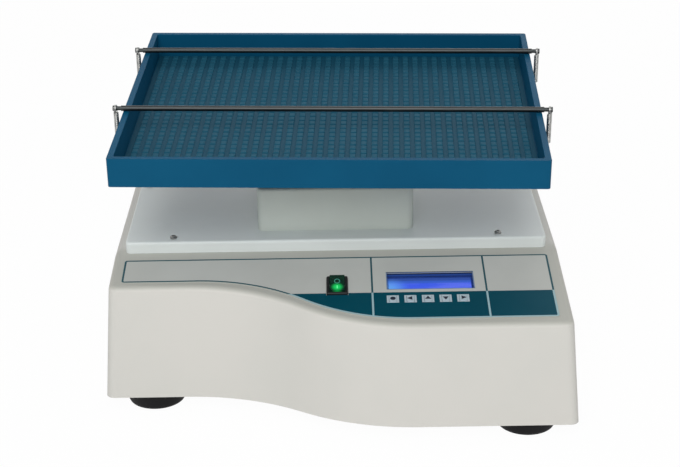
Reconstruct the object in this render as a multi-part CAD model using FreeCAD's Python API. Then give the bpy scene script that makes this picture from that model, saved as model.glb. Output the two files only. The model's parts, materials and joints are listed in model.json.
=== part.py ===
import FreeCAD, Part
import math
import os
from FreeCAD import Placement, Rotation, Vector

# Three-dimensional shaker: a sprung-bar tray that nutates on an inclined crank above a moulded
# housing with a stepped front and a sloping control panel. Millimetres, +Z up, +Y to the back.
# The origin is on the bench under the drive shaft.

# Housing
BODY_WIDTH = 334.0
BODY_DEPTH = 330.0
BODY_BOTTOM = 13.0
DECK_HEIGHT = 104.3
WALL = 3.0
SIDE_DRAFT = 0.073
FRONT_DRAFT = 0.082
BACK_DRAFT = 0.03
CORNER_RADIUS = 6.0
EDGE_RADIUS = 4.0
CREASE_RADIUS = 20.0
INNER_CORNER_RADIUS = 1.0
RIB_THICKNESS = 2.0
RIB_HEIGHT = 12.0

# Front step: the right half stands forward of the left half, joined by two equal arcs
FRONT_STEP = 48.0
STEP_RADIUS = 150.0
STEP_CENTER_X = -26.0

# Control panel
PANEL_RUN = 97.7
CREASE_Y = PANEL_RUN - BODY_DEPTH / 2
PANEL_SLOPE = 9.65
OVERLAY_THICKNESS = 0.5
OVERLAY_SIDE_INSET = 15.7
OVERLAY_TOP = 9.3
OVERLAY_LEFT_BOTTOM = 36.7
OVERLAY_STEP = 44.6
OVERLAY_STEP_X = -16.0
OVERLAY_CORNER = 2.5

# Power switch
SWITCH_X = 0.5
SWITCH_DOWN = 45.7
SWITCH_BEZEL_WIDTH = 15.0
SWITCH_BEZEL_LENGTH = 21.0
SWITCH_BEZEL_HEIGHT = 2.0
SWITCH_BODY_WIDTH = 12.8
SWITCH_BODY_LENGTH = 18.8
SWITCH_BODY_DEPTH = 14.0
SWITCH_HOLE_CLEARANCE = 0.1
SWITCH_CORNER = 1.2
SWITCH_EDGE = 0.6
SWITCH_TAB_WIDTH = 4.8
SWITCH_TAB_THICKNESS = 0.8
SWITCH_TAB_LENGTH = 8.0
ROCKER_WIDTH = 10.5
ROCKER_HALF_LENGTH = 7.8
ROCKER_END_HEIGHT = 3.4
ROCKER_MIDDLE_HEIGHT = 2.5
ROCKER_LEDGE_HEIGHT = 0.4
ROCKER_THROW = 16.0
ROCKER_PIVOT_HEIGHT = 0.6
ROCKER_BELLY_RADIUS = 5.6
ROCKER_GAP = 0.3
ROCKER_TRUNNION = 2.0
TRUNNION_LENGTH = 0.7
TRUNNION_CLEARANCE = 0.05

# Display
DISPLAY_X = 66.0
DISPLAY_DOWN = 40.2
WINDOW_WIDTH = 60.5
WINDOW_HEIGHT = 20.0
WINDOW_THICKNESS = 1.0
WINDOW_CLEARANCE = 0.2
MODULE_WIDTH = 65.0
MODULE_HEIGHT = 26.0
MODULE_DEPTH = 6.0
GLASS_THICKNESS = 2.0
GLASS_DROP = 1.0
MODULE_LIP = 1.0
DISPLAY_BOARD_WIDTH = 84.0
DISPLAY_BOARD_HEIGHT = 34.0
BOARD_THICKNESS = 1.6
BOARD_BOSS_RADIUS = 2.6
BOARD_MARGIN = 1.0
PEG_GAP = 0.1

# Keys
KEY_FIRST_X = 39.0
KEY_PITCH = 12.2
KEY_COUNT = 5
KEY_DOWN = 62.4
KEY_WIDTH = 5.0
KEY_HEIGHT = 6.8
KEY_CORNER = 0.8
KEY_PROUD = 0.6
KEY_GAP = 0.3
KEY_TRAVEL = 0.5
KEY_FLANGE = 0.7
KEY_FLANGE_THICKNESS = 0.8
KEY_FLANGE_DROP = 1.3
KEY_SLOT_HEIGHT = 10.0
KEYPAD_BOARD_HEIGHT = 10.0

# Raised cover on the deck
COVER_SIDE_INSET = 14.5
COVER_BACK_INSET = 13.0
COVER_HEIGHT = 8.8
COVER_SHEET = 1.5
COVER_CORNER = 4.0
COVER_EDGE = 2.0
COVER_BORE = 60.0
COVER_SCREW_X = 118.0
COVER_SCREW_INSET = 7.0
COVER_BOSS_RADIUS = 4.0
DECK_OPENING_HALF_WIDTH = 100.0
DECK_OPENING_FRONT = -50.0
DECK_OPENING_BACK = 120.0
DECK_OPENING_CORNER = 12.0

# Turret over the crank
TURRET_WIDTH = 114.0
TURRET_DEPTH = 100.0
TURRET_HEIGHT = 33.0
TURRET_WALL = 2.0
TURRET_EDGE = 5.0
TURRET_BORE = 54.0
TURRET_LUG_RADIUS = 5.0
TURRET_LUG_INSET = 8.0

# Base plate and feet
BASE_RECESS = 2.0
BASE_SHEET = 1.5
BASE_CLEARANCE = 0.4
FOOT_SIDE_INSET = 34.0
FOOT_LEFT_INSET = 25.0
FOOT_RIGHT_INSET = 28.0
FOOT_BACK_INSET = 30.0
FOOT_RADIUS = 19.5
FOOT_BOTTOM_RADIUS = 16.5
FOOT_ROUNDING = 2.5
FOOT_RECESS_RADIUS = 7.0
FOOT_RECESS_DEPTH = 7.0
BASE_BOSS_INSET = 10.5
BASE_BOSS_RADIUS = 5.5
BASE_BOSS_HEIGHT = 24.0
BASE_BOSS_YS = (-70.0, 20.0, 120.0)

# Drive
TILT = 4.0
DRIVE_AZIMUTH = 4.0
PIVOT_RISE = 24.0
SHAFT_DIAMETER = 12.0
SHAFT_TAIL = 7.0
SHAFT_CHAMFER = 0.8
BEARING_OUTER = 28.0
BEARING_WIDTH = 8.0
BEARING_SHOULDER = 3.0
RUNNING_FIT = 0.05
CRANK_DIAMETER = 44.0
CRANK_HEIGHT = 20.0
CRANK_GAP = 3.0
CRANK_WEB = 1.0
CRANK_CHAMFER = 1.0
SET_SCREW_DEPTH = 2.0
JOURNAL_SEAT = 9.0
COLLAR_DIAMETER = 17.0
COLLAR_LENGTH = 4.0
COLLAR_GAP = 0.1
FRAME_SHEET = 3.0
FRAME_GAP = 0.3
FRAME_HALF_WIDTH = 35.0
FRAME_HALF_SPAN = 48.0
FRAME_FOOT = 16.0
FRAME_SCREW_INSET = 9.0
FRAME_LIGHTENING = 20.0
HOUSING_FLANGE_RADIUS = 38.0
HOUSING_FLANGE = 6.0
HOUSING_RADIUS = 22.0
HOUSING_DROP = 33.0
HOUSING_RISE = 18.0
HOUSING_BOLT_CIRCLE = 29.0
SEAL_THICKNESS = 2.0
SEAL_MARGIN = 3.0
SEAL_LIP_GAP = 0.3
PULLEY_DROP = 27.0
PULLEY_WIDTH = 12.0
DRIVEN_RADIUS = 35.0
DRIVEN_RIM = 3.0
DRIVEN_HUB_RADIUS = 12.0
DRIVEN_HUB_GAP = 6.0
PULLEY_HOLES = 5
PULLEY_HOLE_RADIUS = 6.0
MOTOR_PULLEY_RADIUS = 12.0
PULLEY_RIM = 1.2
BELT_WIDTH = 8.0
BELT_THICKNESS = 1.8
BELT_GAP = 0.35
MOTOR_X = 105.0
MOTOR_Y = 12.0
MOTOR_RADIUS = 30.0
MOTOR_HEIGHT = 28.0
MOTOR_EDGE = 2.0
MOTOR_GROOVE_DEPTH = 1.5
MOTOR_GROOVE_WIDTH = 2.0
MOTOR_PLATE_GAP = 4.0
MOTOR_PLATE_SHEET = 3.0
MOTOR_PLATE_SIDE = 84.0
MOTOR_PLATE_CORNER = 6.0
MOTOR_SHAFT_DIAMETER = 8.0
MOTOR_SHAFT_TAIL = 3.0
MOTOR_SHAFT_GAP = 0.1
MOTOR_SCREW_GRIP = 10.0
MOTOR_PILLAR_RADIUS = 5.0
MOTOR_PILLAR_INSET = 8.0

# Tray and what carries it, in the tray's own frame with the pivot at zero
TRAY_YAW = -2.1
TRAY_WIDTH = 300.0
TRAY_DEPTH = 242.0
TRAY_HEIGHT = 21.0
TRAY_FLOOR = 15.5
TRAY_SHEET = 1.5
TRAY_RIM = 4.5
TRAY_CORNER = 2.0
RIM_ROUNDING = 0.5
MAT_THICKNESS = 2.0
MAT_GAP = 1.0
MAT_CORNER = 3.0
PAD_PITCH = 14.4
PAD_GAP = 1.8
PAD_RISE = 0.9
HUB_RADIUS = 21.0
HUB_BOTTOM = -13.0
HUB_BEARING_SETBACK = 1.0
HUB_TOP_SETBACK = 0.5
HUB_EDGE = 1.5
HUB_WEB_BORE = 20.0
SPIDER_SHEET = 3.0
SPIDER_ARM_WIDTH = 34.0
SPIDER_SIDE_INSET = 30.0
SPIDER_END_INSET = 26.0
SPIDER_RING_RADIUS = 42.0
SPIDER_BORE = 24.0
RING_SCREW_INSET = 11.0
NUT_RADIUS = 9.0
NUT_HEIGHT = 2.6
NUT_GAP = 0.1

# Guide that keeps the tray from turning with the crank
GUIDE_SETBACK = 14.0
GUIDE_DEPTH = 12.0
GUIDE_WIDTH = 24.0
GUIDE_RISE = 6.0
GUIDE_SLOT_DROP = 11.0
GUIDE_PIN = 7.0
GUIDE_SLOT_GAP = 0.45
GUIDE_BASE_WIDTH = 46.0
GUIDE_BASE_DEPTH = 24.0
GUIDE_BASE_SHEET = 4.0
GUIDE_ARM_REACH = 10.0
GUIDE_ARM_THICKNESS = 4.0
GUIDE_ARM_WIDTH = 22.0
GUIDE_ARM_BOTTOM = -7.0
GUIDE_PIN_REACH = 8.0
GUIDE_PIN_HEAD = 3.0
PLATE_CORNER = 3.0

# Hold-down bars and springs, in the tray's frame
BAR_YS = {"front": -39.0, "rear": 76.0}
BAR_DIAMETER = 4.0
BAR_REST_GAP = 0.1
BAR_OVERHANG = 1.4
BAR_NECK_DIAMETER = 3.0
BAR_NECK_LENGTH = 5.2
BAR_KNOB_LENGTH = 0.8
SPRING_OFFSET = 4.5
SPRING_DIAMETER = 3.6
SPRING_WIRE = 0.8
SPRING_LOOP_RADIUS = 2.4
SPRING_DROP = 4.0
SPRING_GAP = 0.3
BRACKET_SHEET = 1.5
BRACKET_WIDTH = 14.0
BRACKET_REACH = 22.0
BRACKET_EYE_INSET = 3.0
BRACKET_EYE = 2.0

# Rear inlet
INLET_X = -95.0
INLET_Z = 52.0
INLET_FLANGE_WIDTH = 50.0
INLET_FLANGE_HEIGHT = 40.0
INLET_FLANGE_THICKNESS = 1.8
INLET_SETBACK = 1.6
INLET_BODY_WIDTH = 30.0
INLET_BODY_HEIGHT = 34.0
INLET_BODY_DEPTH = 24.0
INLET_PAD = 3.5
INLET_GAP = 0.3
SOCKET_WIDTH = 24.4
SOCKET_HEIGHT = 16.4
SOCKET_DEPTH = 17.0
SOCKET_CHAMFER = 5.0
SOCKET_UP = 6.0
PIN_WIDTH = 2.0
PIN_HEIGHT = 4.0
PIN_LENGTH = 14.0
PIN_SPREAD = 7.0
PIN_DROP = 3.0
EARTH_PIN_RISE = 2.5
TAIL_LENGTH = 7.0
FUSE_WIDTH = 24.0
FUSE_HEIGHT = 8.0
FUSE_DEPTH = 20.0
FUSE_FACE = 1.2
FUSE_NOTCH = 8.0
FUSE_CAP = 5.0
FUSE_WAIST = 0.3
FUSE_DOWN = 10.5
FUSE_SLIDE_GAP = 0.3
FUSE_RADIUS = 2.5
FUSE_LENGTH = 20.0
FUSE_END_GAP = 0.2

# Vents in the back wall
VENT_COUNT = 9
VENT_PITCH = 7.0
VENT_WIDTH = 3.0
VENT_HEIGHT = 34.0
VENT_X = 60.0
VENT_Z = 50.0

# Electrics on the base plate
BOARD_X = -95.0
BOARD_Y = -25.0
BOARD_WIDTH = 84.0
BOARD_DEPTH = 110.0
BOARD_STANDOFF = 8.0
TRANSFORMER_X = -100.0
TRANSFORMER_BACK = 73.0
TRANSFORMER_WIDTH = 54.0
TRANSFORMER_DEPTH = 34.0
TRANSFORMER_HEIGHT = 45.0
COIL_OVERHANG = 7.0
CORE_LIMB = 9.0
STANDOFF_RADIUS = 3.0
BOARD_HOLE_INSET = 5.0
HEAT_SINK_WIDTH = 30.0
HEAT_SINK_HEIGHT = 24.0
HEAT_SINK_BACK = 6.0
HEAT_SINK_DEPTH = 18.0
HEAT_SINK_FINS = 5
FIN_THICKNESS = 2.0
CAPACITOR_RADIUS = 6.0
CAPACITOR_HEIGHT = 18.0
RELAY_SIDE = 16.0
RELAY_HEIGHT = 12.0
CHIP_SIDE = 20.0
CHIP_HEIGHT = 4.0
TERMINAL_WIDTH = 56.0
TERMINAL_DEPTH = 8.0
TERMINAL_HEIGHT = 9.0

# Screws: head diameter and height, shank diameter
SCREW_HEAD = 7.0
SCREW_HEAD_HEIGHT = 2.4
SCREW_SHANK = 4.0
SMALL_HEAD = 5.0
SMALL_HEAD_HEIGHT = 1.8
SMALL_SHANK = 2.6
SCREW_INSET = 8.0
SCREW_BITE = 2.0
SOCKET_KEY = 2.4
DRIVER_SLOT_DEPTH = 0.6
DRIVER_SLOT_WIDTH = 0.8

SHAPES = {}
os.makedirs("parts", exist_ok=True)

UP = Vector(0, 0, 1)
RIGHT = Vector(1, 0, 0)
BACK = Vector(0, 1, 0)

BASE_BOTTOM = BODY_BOTTOM + BASE_RECESS
BASE_TOP = BASE_BOTTOM + BASE_SHEET
BASE_BOSS_X = BODY_WIDTH / 2 - BASE_BOSS_INSET
OVERLAY_HALF_WIDTH = BODY_WIDTH / 2 - OVERLAY_SIDE_INSET
COVER_TOP = DECK_HEIGHT + COVER_HEIGHT
COVER_HALF_WIDTH = BODY_WIDTH / 2 - COVER_SIDE_INSET
COVER_BACK = BODY_DEPTH / 2 - COVER_BACK_INSET
TURRET_TOP = COVER_TOP + TURRET_HEIGHT
INLET_FACE_Y = BODY_DEPTH / 2 - INLET_SETBACK
TRANSFORMER_Y = BODY_DEPTH / 2 - TRANSFORMER_BACK

# The drive hangs from the deck: bearing housing, pulleys and motor below it, crank and tray above
FRAME_TOP = DECK_HEIGHT - WALL - FRAME_GAP
HOUSING_BOTTOM = FRAME_TOP - HOUSING_DROP
HOUSING_TOP = FRAME_TOP + HOUSING_RISE
CRANK_TOP = HOUSING_TOP + SEAL_THICKNESS + CRANK_GAP + CRANK_HEIGHT
PULLEY_BOTTOM = HOUSING_BOTTOM - PULLEY_DROP
PULLEY_TOP = PULLEY_BOTTOM + PULLEY_WIDTH
MOTOR_PLATE_TOP = PULLEY_TOP + MOTOR_PLATE_GAP + MOTOR_PLATE_SHEET
PIVOT_HEIGHT = CRANK_TOP + PIVOT_RISE
PIVOT = Vector(0, 0, PIVOT_HEIGHT)
HUB_TOP = TRAY_FLOOR - SPIDER_SHEET
NUT_LOW = HUB_TOP - HUB_TOP_SETBACK + NUT_GAP
JOURNAL_TOP = NUT_LOW + NUT_HEIGHT
SPIDER_HALF_X = TRAY_WIDTH / 2 - SPIDER_SIDE_INSET
SPIDER_HALF_Y = TRAY_DEPTH / 2 - SPIDER_END_INSET
GUIDE_RADIUS = TURRET_DEPTH / 2 + GUIDE_SETBACK
GUIDE_ARM_INNER = GUIDE_RADIUS + GUIDE_ARM_REACH
SPRING_X = TRAY_WIDTH / 2 + SPRING_OFFSET

CRANK_FRAME = Placement(PIVOT, Rotation(UP, DRIVE_AZIMUTH) * Rotation(RIGHT, TILT))
TRAY_FRAME = CRANK_FRAME * Placement(Vector(), Rotation(UP, TRAY_YAW - DRIVE_AZIMUTH))
PANEL_FRAME = Placement(Vector(0, CREASE_Y, DECK_HEIGHT), Rotation(RIGHT, PANEL_SLOPE))
GUIDE_FRAME = Placement(Vector(), Rotation(UP, TRAY_YAW))


def add(name, shape, frame=None):
    """Keep a finished piece under its name, placed by a frame if one is given."""
    if frame is not None:
        shape = placed(shape, frame)
    SHAPES[name] = shape


def placed(shape, frame):
    """A copy of a shape moved and turned by a frame."""
    moved = shape.copy()
    moved.Placement = frame * shape.Placement
    return moved


def cylinder(radius, low, high, x=0.0, y=0.0):
    """An upright cylinder between two heights."""
    return Part.makeCylinder(radius, high - low, Vector(x, y, low), UP)


def rod(radius, start, end):
    """A cylinder between two points."""
    axis = end.sub(start)
    return Part.makeCylinder(radius, axis.Length, start, axis)


def block(x1, x2, y1, y2, z1, z2):
    """A box between two corners."""
    return Part.makeBox(x2 - x1, y2 - y1, z2 - z1, Vector(x1, y1, z1))


def rounded_wire(x1, x2, y1, y2, z, radius):
    """A closed rectangle with round corners at one height."""
    diag = radius * (1 - math.sqrt(0.5))
    edges = []
    corners = ((x2, y1, -1, 1), (x2, y2, -1, -1), (x1, y2, 1, -1), (x1, y1, 1, 1))
    joints = []
    for x, y, sx, sy in corners:
        along_x = Vector(x + sx * radius, y, z)
        along_y = Vector(x, y + sy * radius, z)
        middle = Vector(x + sx * diag, y + sy * diag, z)
        joints.append((along_x, middle, along_y, sx * sy < 0))
    points = []
    for first, middle, last, forward in joints:
        points.append((first, middle, last) if forward else (last, middle, first))
    for index, (first, middle, last) in enumerate(points):
        edges.append(Part.Arc(first, middle, last).toShape())
        following = points[(index + 1) % len(points)][0]
        edges.append(Part.LineSegment(last, following).toShape())
    return Part.Wire(edges)


def rounded_block(x1, x2, y1, y2, z1, z2, radius):
    """A box whose four upright edges are round."""
    face = Part.Face(rounded_wire(x1, x2, y1, y2, z1, radius))
    return face.extrude(Vector(0, 0, z2 - z1))


def ring(outer, inner, low, high, x=0.0, y=0.0):
    """A plain ring between two heights."""
    return cylinder(outer, low, high, x, y).cut(cylinder(inner, low - 1, high + 1, x, y))


def top_edges(shape, height, tolerance=0.01):
    """The edges of a shape that lie wholly at one height."""
    found = []
    for edge in shape.Edges:
        box = edge.BoundBox
        if abs(box.ZMin - height) < tolerance and abs(box.ZMax - height) < tolerance:
            found.append(edge)
    return found


def hexagon(radius, x, y, z):
    """A flat six-sided face round a place."""
    turns = [math.radians(60 * index) for index in range(7)]
    points = [Vector(x + radius * math.cos(turn), y + radius * math.sin(turn), z) for turn in turns]
    return Part.Face(Part.makePolygon(points))


def screw(x, y, seat, length, up=True, head=SCREW_HEAD, rise=SCREW_HEAD_HEIGHT, shank=SCREW_SHANK):
    """A pan-head screw with a hexagon recess; its head sits on the seat height."""
    sign = 1 if up else -1
    low = min(seat, seat + sign * rise)
    body = cylinder(head / 2, low, low + rise, x, y)
    end = seat + sign * rise
    body = body.makeChamfer(rise * 0.35, top_edges(body, end))
    tip = seat - sign * length
    body = body.fuse(cylinder(shank / 2, min(seat, tip), max(seat, tip), x, y))
    hole = hexagon(SOCKET_KEY / 2, x, y, end).extrude(Vector(0, 0, -sign * rise * 0.6))
    return body.cut(hole)


def step_angle(step, radius):
    """The turn of each arc of a front step."""
    return math.acos(1 - step / (2 * radius))


def step_edges(center_x, left, right, radius, inset, z):
    """The two tangent arcs of a front step, moved in by an inset, from left to right."""
    angle = step_angle(left - right, radius)
    run = radius * math.sin(angle)
    hollow = Vector(center_x - run, left - radius, z)
    bulge = Vector(center_x + run, right + radius, z)
    outer = radius + inset
    inner = radius - inset

    def on_hollow(turn):
        return hollow + Vector(outer * math.sin(turn), outer * math.cos(turn), 0)

    def on_bulge(turn):
        return bulge - Vector(inner * math.sin(turn), inner * math.cos(turn), 0)

    first = Part.Arc(on_hollow(0), on_hollow(angle / 2), on_hollow(angle))
    second = Part.Arc(on_bulge(angle), on_bulge(angle / 2), on_bulge(0))
    return [first.toShape(), second.toShape()]


def stepped_wire(half, back, left, right, center_x, radius, inset, corner, z):
    """A closed outline with a stepped front edge, straight sides and round corners."""
    arcs = step_edges(center_x, left, right, radius, inset, z)
    left_y = left + inset
    right_y = right + inset
    diag = corner * (1 - math.sqrt(0.5))
    path = [
        ((half - corner, right_y), (half - diag, right_y + diag), (half, right_y + corner)),
        ((half, back - corner), (half - diag, back - diag), (half - corner, back)),
        ((corner - half, back), (diag - half, back - diag), (-half, back - corner)),
        ((-half, left_y + corner), (diag - half, left_y + diag), (corner - half, left_y)),
    ]
    edges = list(arcs)
    last = arcs[1].Vertexes[-1].Point
    for corner_points in path:
        start, middle, end = [Vector(x, y, z) for x, y in corner_points]
        edges.append(Part.LineSegment(last, start).toShape())
        edges.append(Part.Arc(start, middle, end).toShape())
        last = end
    edges.append(Part.LineSegment(last, arcs[0].Vertexes[0].Point).toShape())
    return Part.Wire(edges)


def housing_wire(z, inset):
    """The drafted plan outline of the housing at a height."""
    rise = z - BODY_BOTTOM
    half = BODY_WIDTH / 2 - SIDE_DRAFT * rise - inset
    back = BODY_DEPTH / 2 - BACK_DRAFT * rise - inset
    right = -BODY_DEPTH / 2 + FRONT_DRAFT * rise
    corner = max(CORNER_RADIUS - inset, INNER_CORNER_RADIUS)
    return stepped_wire(
        half, back, right + FRONT_STEP, right, STEP_CENTER_X, STEP_RADIUS, inset, corner, z
    )


def housing_block(inset, bottom, top):
    """A drafted solid between two heights."""
    return Part.makeLoft([housing_wire(bottom, inset), housing_wire(top, inset)], True, True)


def above_panel(drop):
    """Everything above the deck and panel surfaces, which are lowered by a drop."""
    slope = math.radians(PANEL_SLOPE)
    deck = DECK_HEIGHT - drop
    crease = CREASE_Y + drop * math.tan(slope / 2)
    front = -BODY_DEPTH
    low = deck + (front - crease) * math.tan(slope)
    high = DECK_HEIGHT + BODY_BOTTOM
    points = [
        Vector(-BODY_WIDTH, BODY_DEPTH, deck),
        Vector(-BODY_WIDTH, crease, deck),
        Vector(-BODY_WIDTH, front, low),
        Vector(-BODY_WIDTH, front, high),
        Vector(-BODY_WIDTH, BODY_DEPTH, high),
    ]
    face = Part.Face(Part.makePolygon(points + points[:1]))
    return face.extrude(Vector(2 * BODY_WIDTH, 0, 0))


def panel_block(x, down, width, height, low, high, corner=0.0):
    """A box on the control panel, centred on a place and between two depths."""
    x1 = x - width / 2
    y1 = -down - height / 2
    if corner > 0:
        return placed(rounded_block(x1, x1 + width, y1, y1 + height, low, high, corner), PANEL_FRAME)
    return placed(block(x1, x1 + width, y1, y1 + height, low, high), PANEL_FRAME)


def key_x(index):
    """The place of a key along the row."""
    return KEY_FIRST_X + index * KEY_PITCH


def key_row_center():
    """The middle of the row of keys."""
    return KEY_FIRST_X + (KEY_COUNT - 1) * KEY_PITCH / 2


def key_row_width():
    """The width of the slot that the keys stand in."""
    return (KEY_COUNT - 1) * KEY_PITCH + KEY_WIDTH + 2 * KEY_FLANGE + 2 * KEY_GAP


def display_board_bosses():
    """Places of the display board's bosses on the panel, as x and distance down."""
    dx = DISPLAY_BOARD_WIDTH / 2 - BOARD_BOSS_RADIUS - BOARD_MARGIN
    dy = DISPLAY_BOARD_HEIGHT / 2 - BOARD_BOSS_RADIUS
    return [(DISPLAY_X + sx * dx, DISPLAY_DOWN + sy * dy) for sx in (-1, 1) for sy in (-1, 1)]


def keypad_bosses():
    """Places of the two pegs that hold the keypad board."""
    reach = key_row_width() / 2 + BOARD_BOSS_RADIUS + BOARD_MARGIN
    return [(key_row_center() + side * reach, KEY_DOWN) for side in (-1, 1)]


def cover_screw_places():
    """Places of the screws that hold the raised cover."""
    front = CREASE_Y + COVER_SCREW_INSET
    back = COVER_BACK - COVER_SCREW_INSET
    side = COVER_HALF_WIDTH - COVER_SCREW_INSET
    places = [(sx * COVER_SCREW_X, y) for sx in (-1, 1) for y in (front, back)]
    return places + [(sx * side, (front + back) / 2) for sx in (-1, 1)]


def base_boss_places():
    """Places of the bosses that take the base plate's screws."""
    return [(sx * BASE_BOSS_X, y) for sx in (-1, 1) for y in BASE_BOSS_YS]


def foot_places():
    """Places of the four feet; the front pair follows the stepped front."""
    x = BODY_WIDTH / 2 - FOOT_SIDE_INSET
    front = -BODY_DEPTH / 2
    back = BODY_DEPTH / 2 - FOOT_BACK_INSET
    return [
        (-x, front + FRONT_STEP + FOOT_LEFT_INSET),
        (x, front + FOOT_RIGHT_INSET),
        (-x, back),
        (x, back),
    ]


def upward_faces(shape):
    """The faces of a shape that look up."""
    found = []
    for face in shape.Faces:
        u1, u2, v1, v2 = face.ParameterRange
        if face.normalAt((u1 + u2) / 2, (v1 + v2) / 2).z > 0.9:
            found.append(face)
    return found


def shared_edges(faces):
    """The edges that two of these faces share."""
    found = []
    for index, face in enumerate(faces):
        for other in faces[index + 1:]:
            found += [edge for edge in face.Edges if any(edge.isSame(e) for e in other.Edges)]
    return found


def make_housing():
    """The moulded housing: drafted walls, sloping panel, bosses, ribs and openings."""
    raw = housing_block(0.0, BODY_BOTTOM, DECK_HEIGHT)
    outer = raw.cut(above_panel(0.0))
    outer = outer.makeFillet(CREASE_RADIUS, shared_edges(upward_faces(outer)))
    tops = upward_faces(outer)
    inside_edges = shared_edges(tops)
    rim = [edge for face in tops for edge in face.Edges if not any(edge.isSame(e) for e in inside_edges)]
    outer = outer.makeFillet(EDGE_RADIUS, rim)
    inner = housing_block(WALL, BODY_BOTTOM - 1, DECK_HEIGHT).cut(above_panel(WALL))
    shell = outer.cut(inner)
    extras = []
    for x, y in base_boss_places():
        extras.append(cylinder(BASE_BOSS_RADIUS, BASE_TOP, BASE_TOP + BASE_BOSS_HEIGHT, x, y))
    ceiling = DECK_HEIGHT - WALL
    half = DECK_OPENING_HALF_WIDTH
    r = RIB_THICKNESS
    curb = rounded_block(-half - r, half + r, DECK_OPENING_FRONT - r, DECK_OPENING_BACK + r,
                         ceiling - RIB_HEIGHT, ceiling + 1, DECK_OPENING_CORNER + r)
    extras.append(curb.cut(rounded_block(-half, half, DECK_OPENING_FRONT, DECK_OPENING_BACK,
                                         ceiling - RIB_HEIGHT - 1, ceiling + 2, DECK_OPENING_CORNER)))
    pad_w = INLET_FLANGE_WIDTH / 2 + INLET_PAD
    pad_h = INLET_FLANGE_HEIGHT / 2 + INLET_PAD
    seat = INLET_FACE_Y - INLET_FLANGE_THICKNESS
    extras.append(block(INLET_X - pad_w, INLET_X + pad_w, seat - INLET_PAD, seat + 1,
                        INLET_Z - pad_h, INLET_Z + pad_h))
    for x, down in display_board_bosses():
        boss = cylinder(BOARD_BOSS_RADIUS, -WALL - MODULE_DEPTH, -WALL / 2, x, -down)
        extras.append(placed(boss, PANEL_FRAME))
    for x, down in keypad_bosses():
        boss = cylinder(BOARD_BOSS_RADIUS / 2, -WALL - 2 * BOARD_THICKNESS, -WALL / 2, x, -down)
        extras.append(placed(boss, PANEL_FRAME))
    inside = []
    for extra in extras:
        inside.append(extra.common(outer))
    shell = shell.multiFuse(inside)
    for x, y in cover_screw_places():
        shell = shell.fuse(cylinder(COVER_BOSS_RADIUS, DECK_HEIGHT - 1, COVER_TOP - COVER_SHEET, x, y))
    cuts = [rounded_block(-half, half, DECK_OPENING_FRONT, DECK_OPENING_BACK,
                          ceiling - 1, DECK_HEIGHT + 1, DECK_OPENING_CORNER)]
    gap = 2 * SWITCH_HOLE_CLEARANCE
    through = (-WALL - 1, 1)
    cuts.append(panel_block(SWITCH_X, SWITCH_DOWN, SWITCH_BODY_WIDTH + gap,
                            SWITCH_BODY_LENGTH + gap, *through))
    cuts.append(panel_block(DISPLAY_X, DISPLAY_DOWN, WINDOW_WIDTH, WINDOW_HEIGHT, *through))
    cuts.append(panel_block(key_row_center(), KEY_DOWN, key_row_width(), KEY_SLOT_HEIGHT, *through))
    for x, y in base_boss_places():
        cuts.append(cylinder(SCREW_SHANK / 2, BASE_TOP - 1, BASE_TOP + BASE_BOSS_HEIGHT / 2, x, y))
    for x, y in cover_screw_places():
        cuts.append(cylinder(SMALL_SHANK / 2, DECK_HEIGHT, COVER_TOP, x, y))
    flange_w = INLET_FLANGE_WIDTH / 2 + INLET_GAP
    flange_h = INLET_FLANGE_HEIGHT / 2 + INLET_GAP
    body_w = INLET_BODY_WIDTH / 2 + INLET_GAP
    body_h = INLET_BODY_HEIGHT / 2 + INLET_GAP
    cuts.append(block(INLET_X - flange_w, INLET_X + flange_w, seat, BODY_DEPTH,
                      INLET_Z - flange_h, INLET_Z + flange_h))
    cuts.append(block(INLET_X - body_w, INLET_X + body_w, seat - 2 * INLET_PAD, BODY_DEPTH,
                      INLET_Z - body_h, INLET_Z + body_h))
    for x in inlet_screw_xs():
        deep = Vector(x, seat - 2 * INLET_PAD, INLET_Z)
        cuts.append(rod(SMALL_SHANK / 2, deep, Vector(x, BODY_DEPTH, INLET_Z)))
    for index in range(VENT_COUNT):
        x = VENT_X + (index - (VENT_COUNT - 1) / 2) * VENT_PITCH
        slot = rounded_block(x - VENT_WIDTH / 2, x + VENT_WIDTH / 2, -VENT_HEIGHT / 2, VENT_HEIGHT / 2,
                             0, 4 * WALL, VENT_WIDTH / 2 - 0.01)
        frame = Placement(Vector(0, BODY_DEPTH / 2 + WALL, VENT_Z), Rotation(RIGHT, 90))
        cuts.append(placed(slot, frame))
    for cut in cuts:
        shell = shell.cut(cut)
    add("housing_shell", shell.removeSplitter())


def inlet_screw_xs():
    """Places of the inlet's two screws along the back."""
    reach = (INLET_FLANGE_WIDTH + INLET_BODY_WIDTH) / 4
    return [INLET_X - reach, INLET_X + reach]


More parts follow.
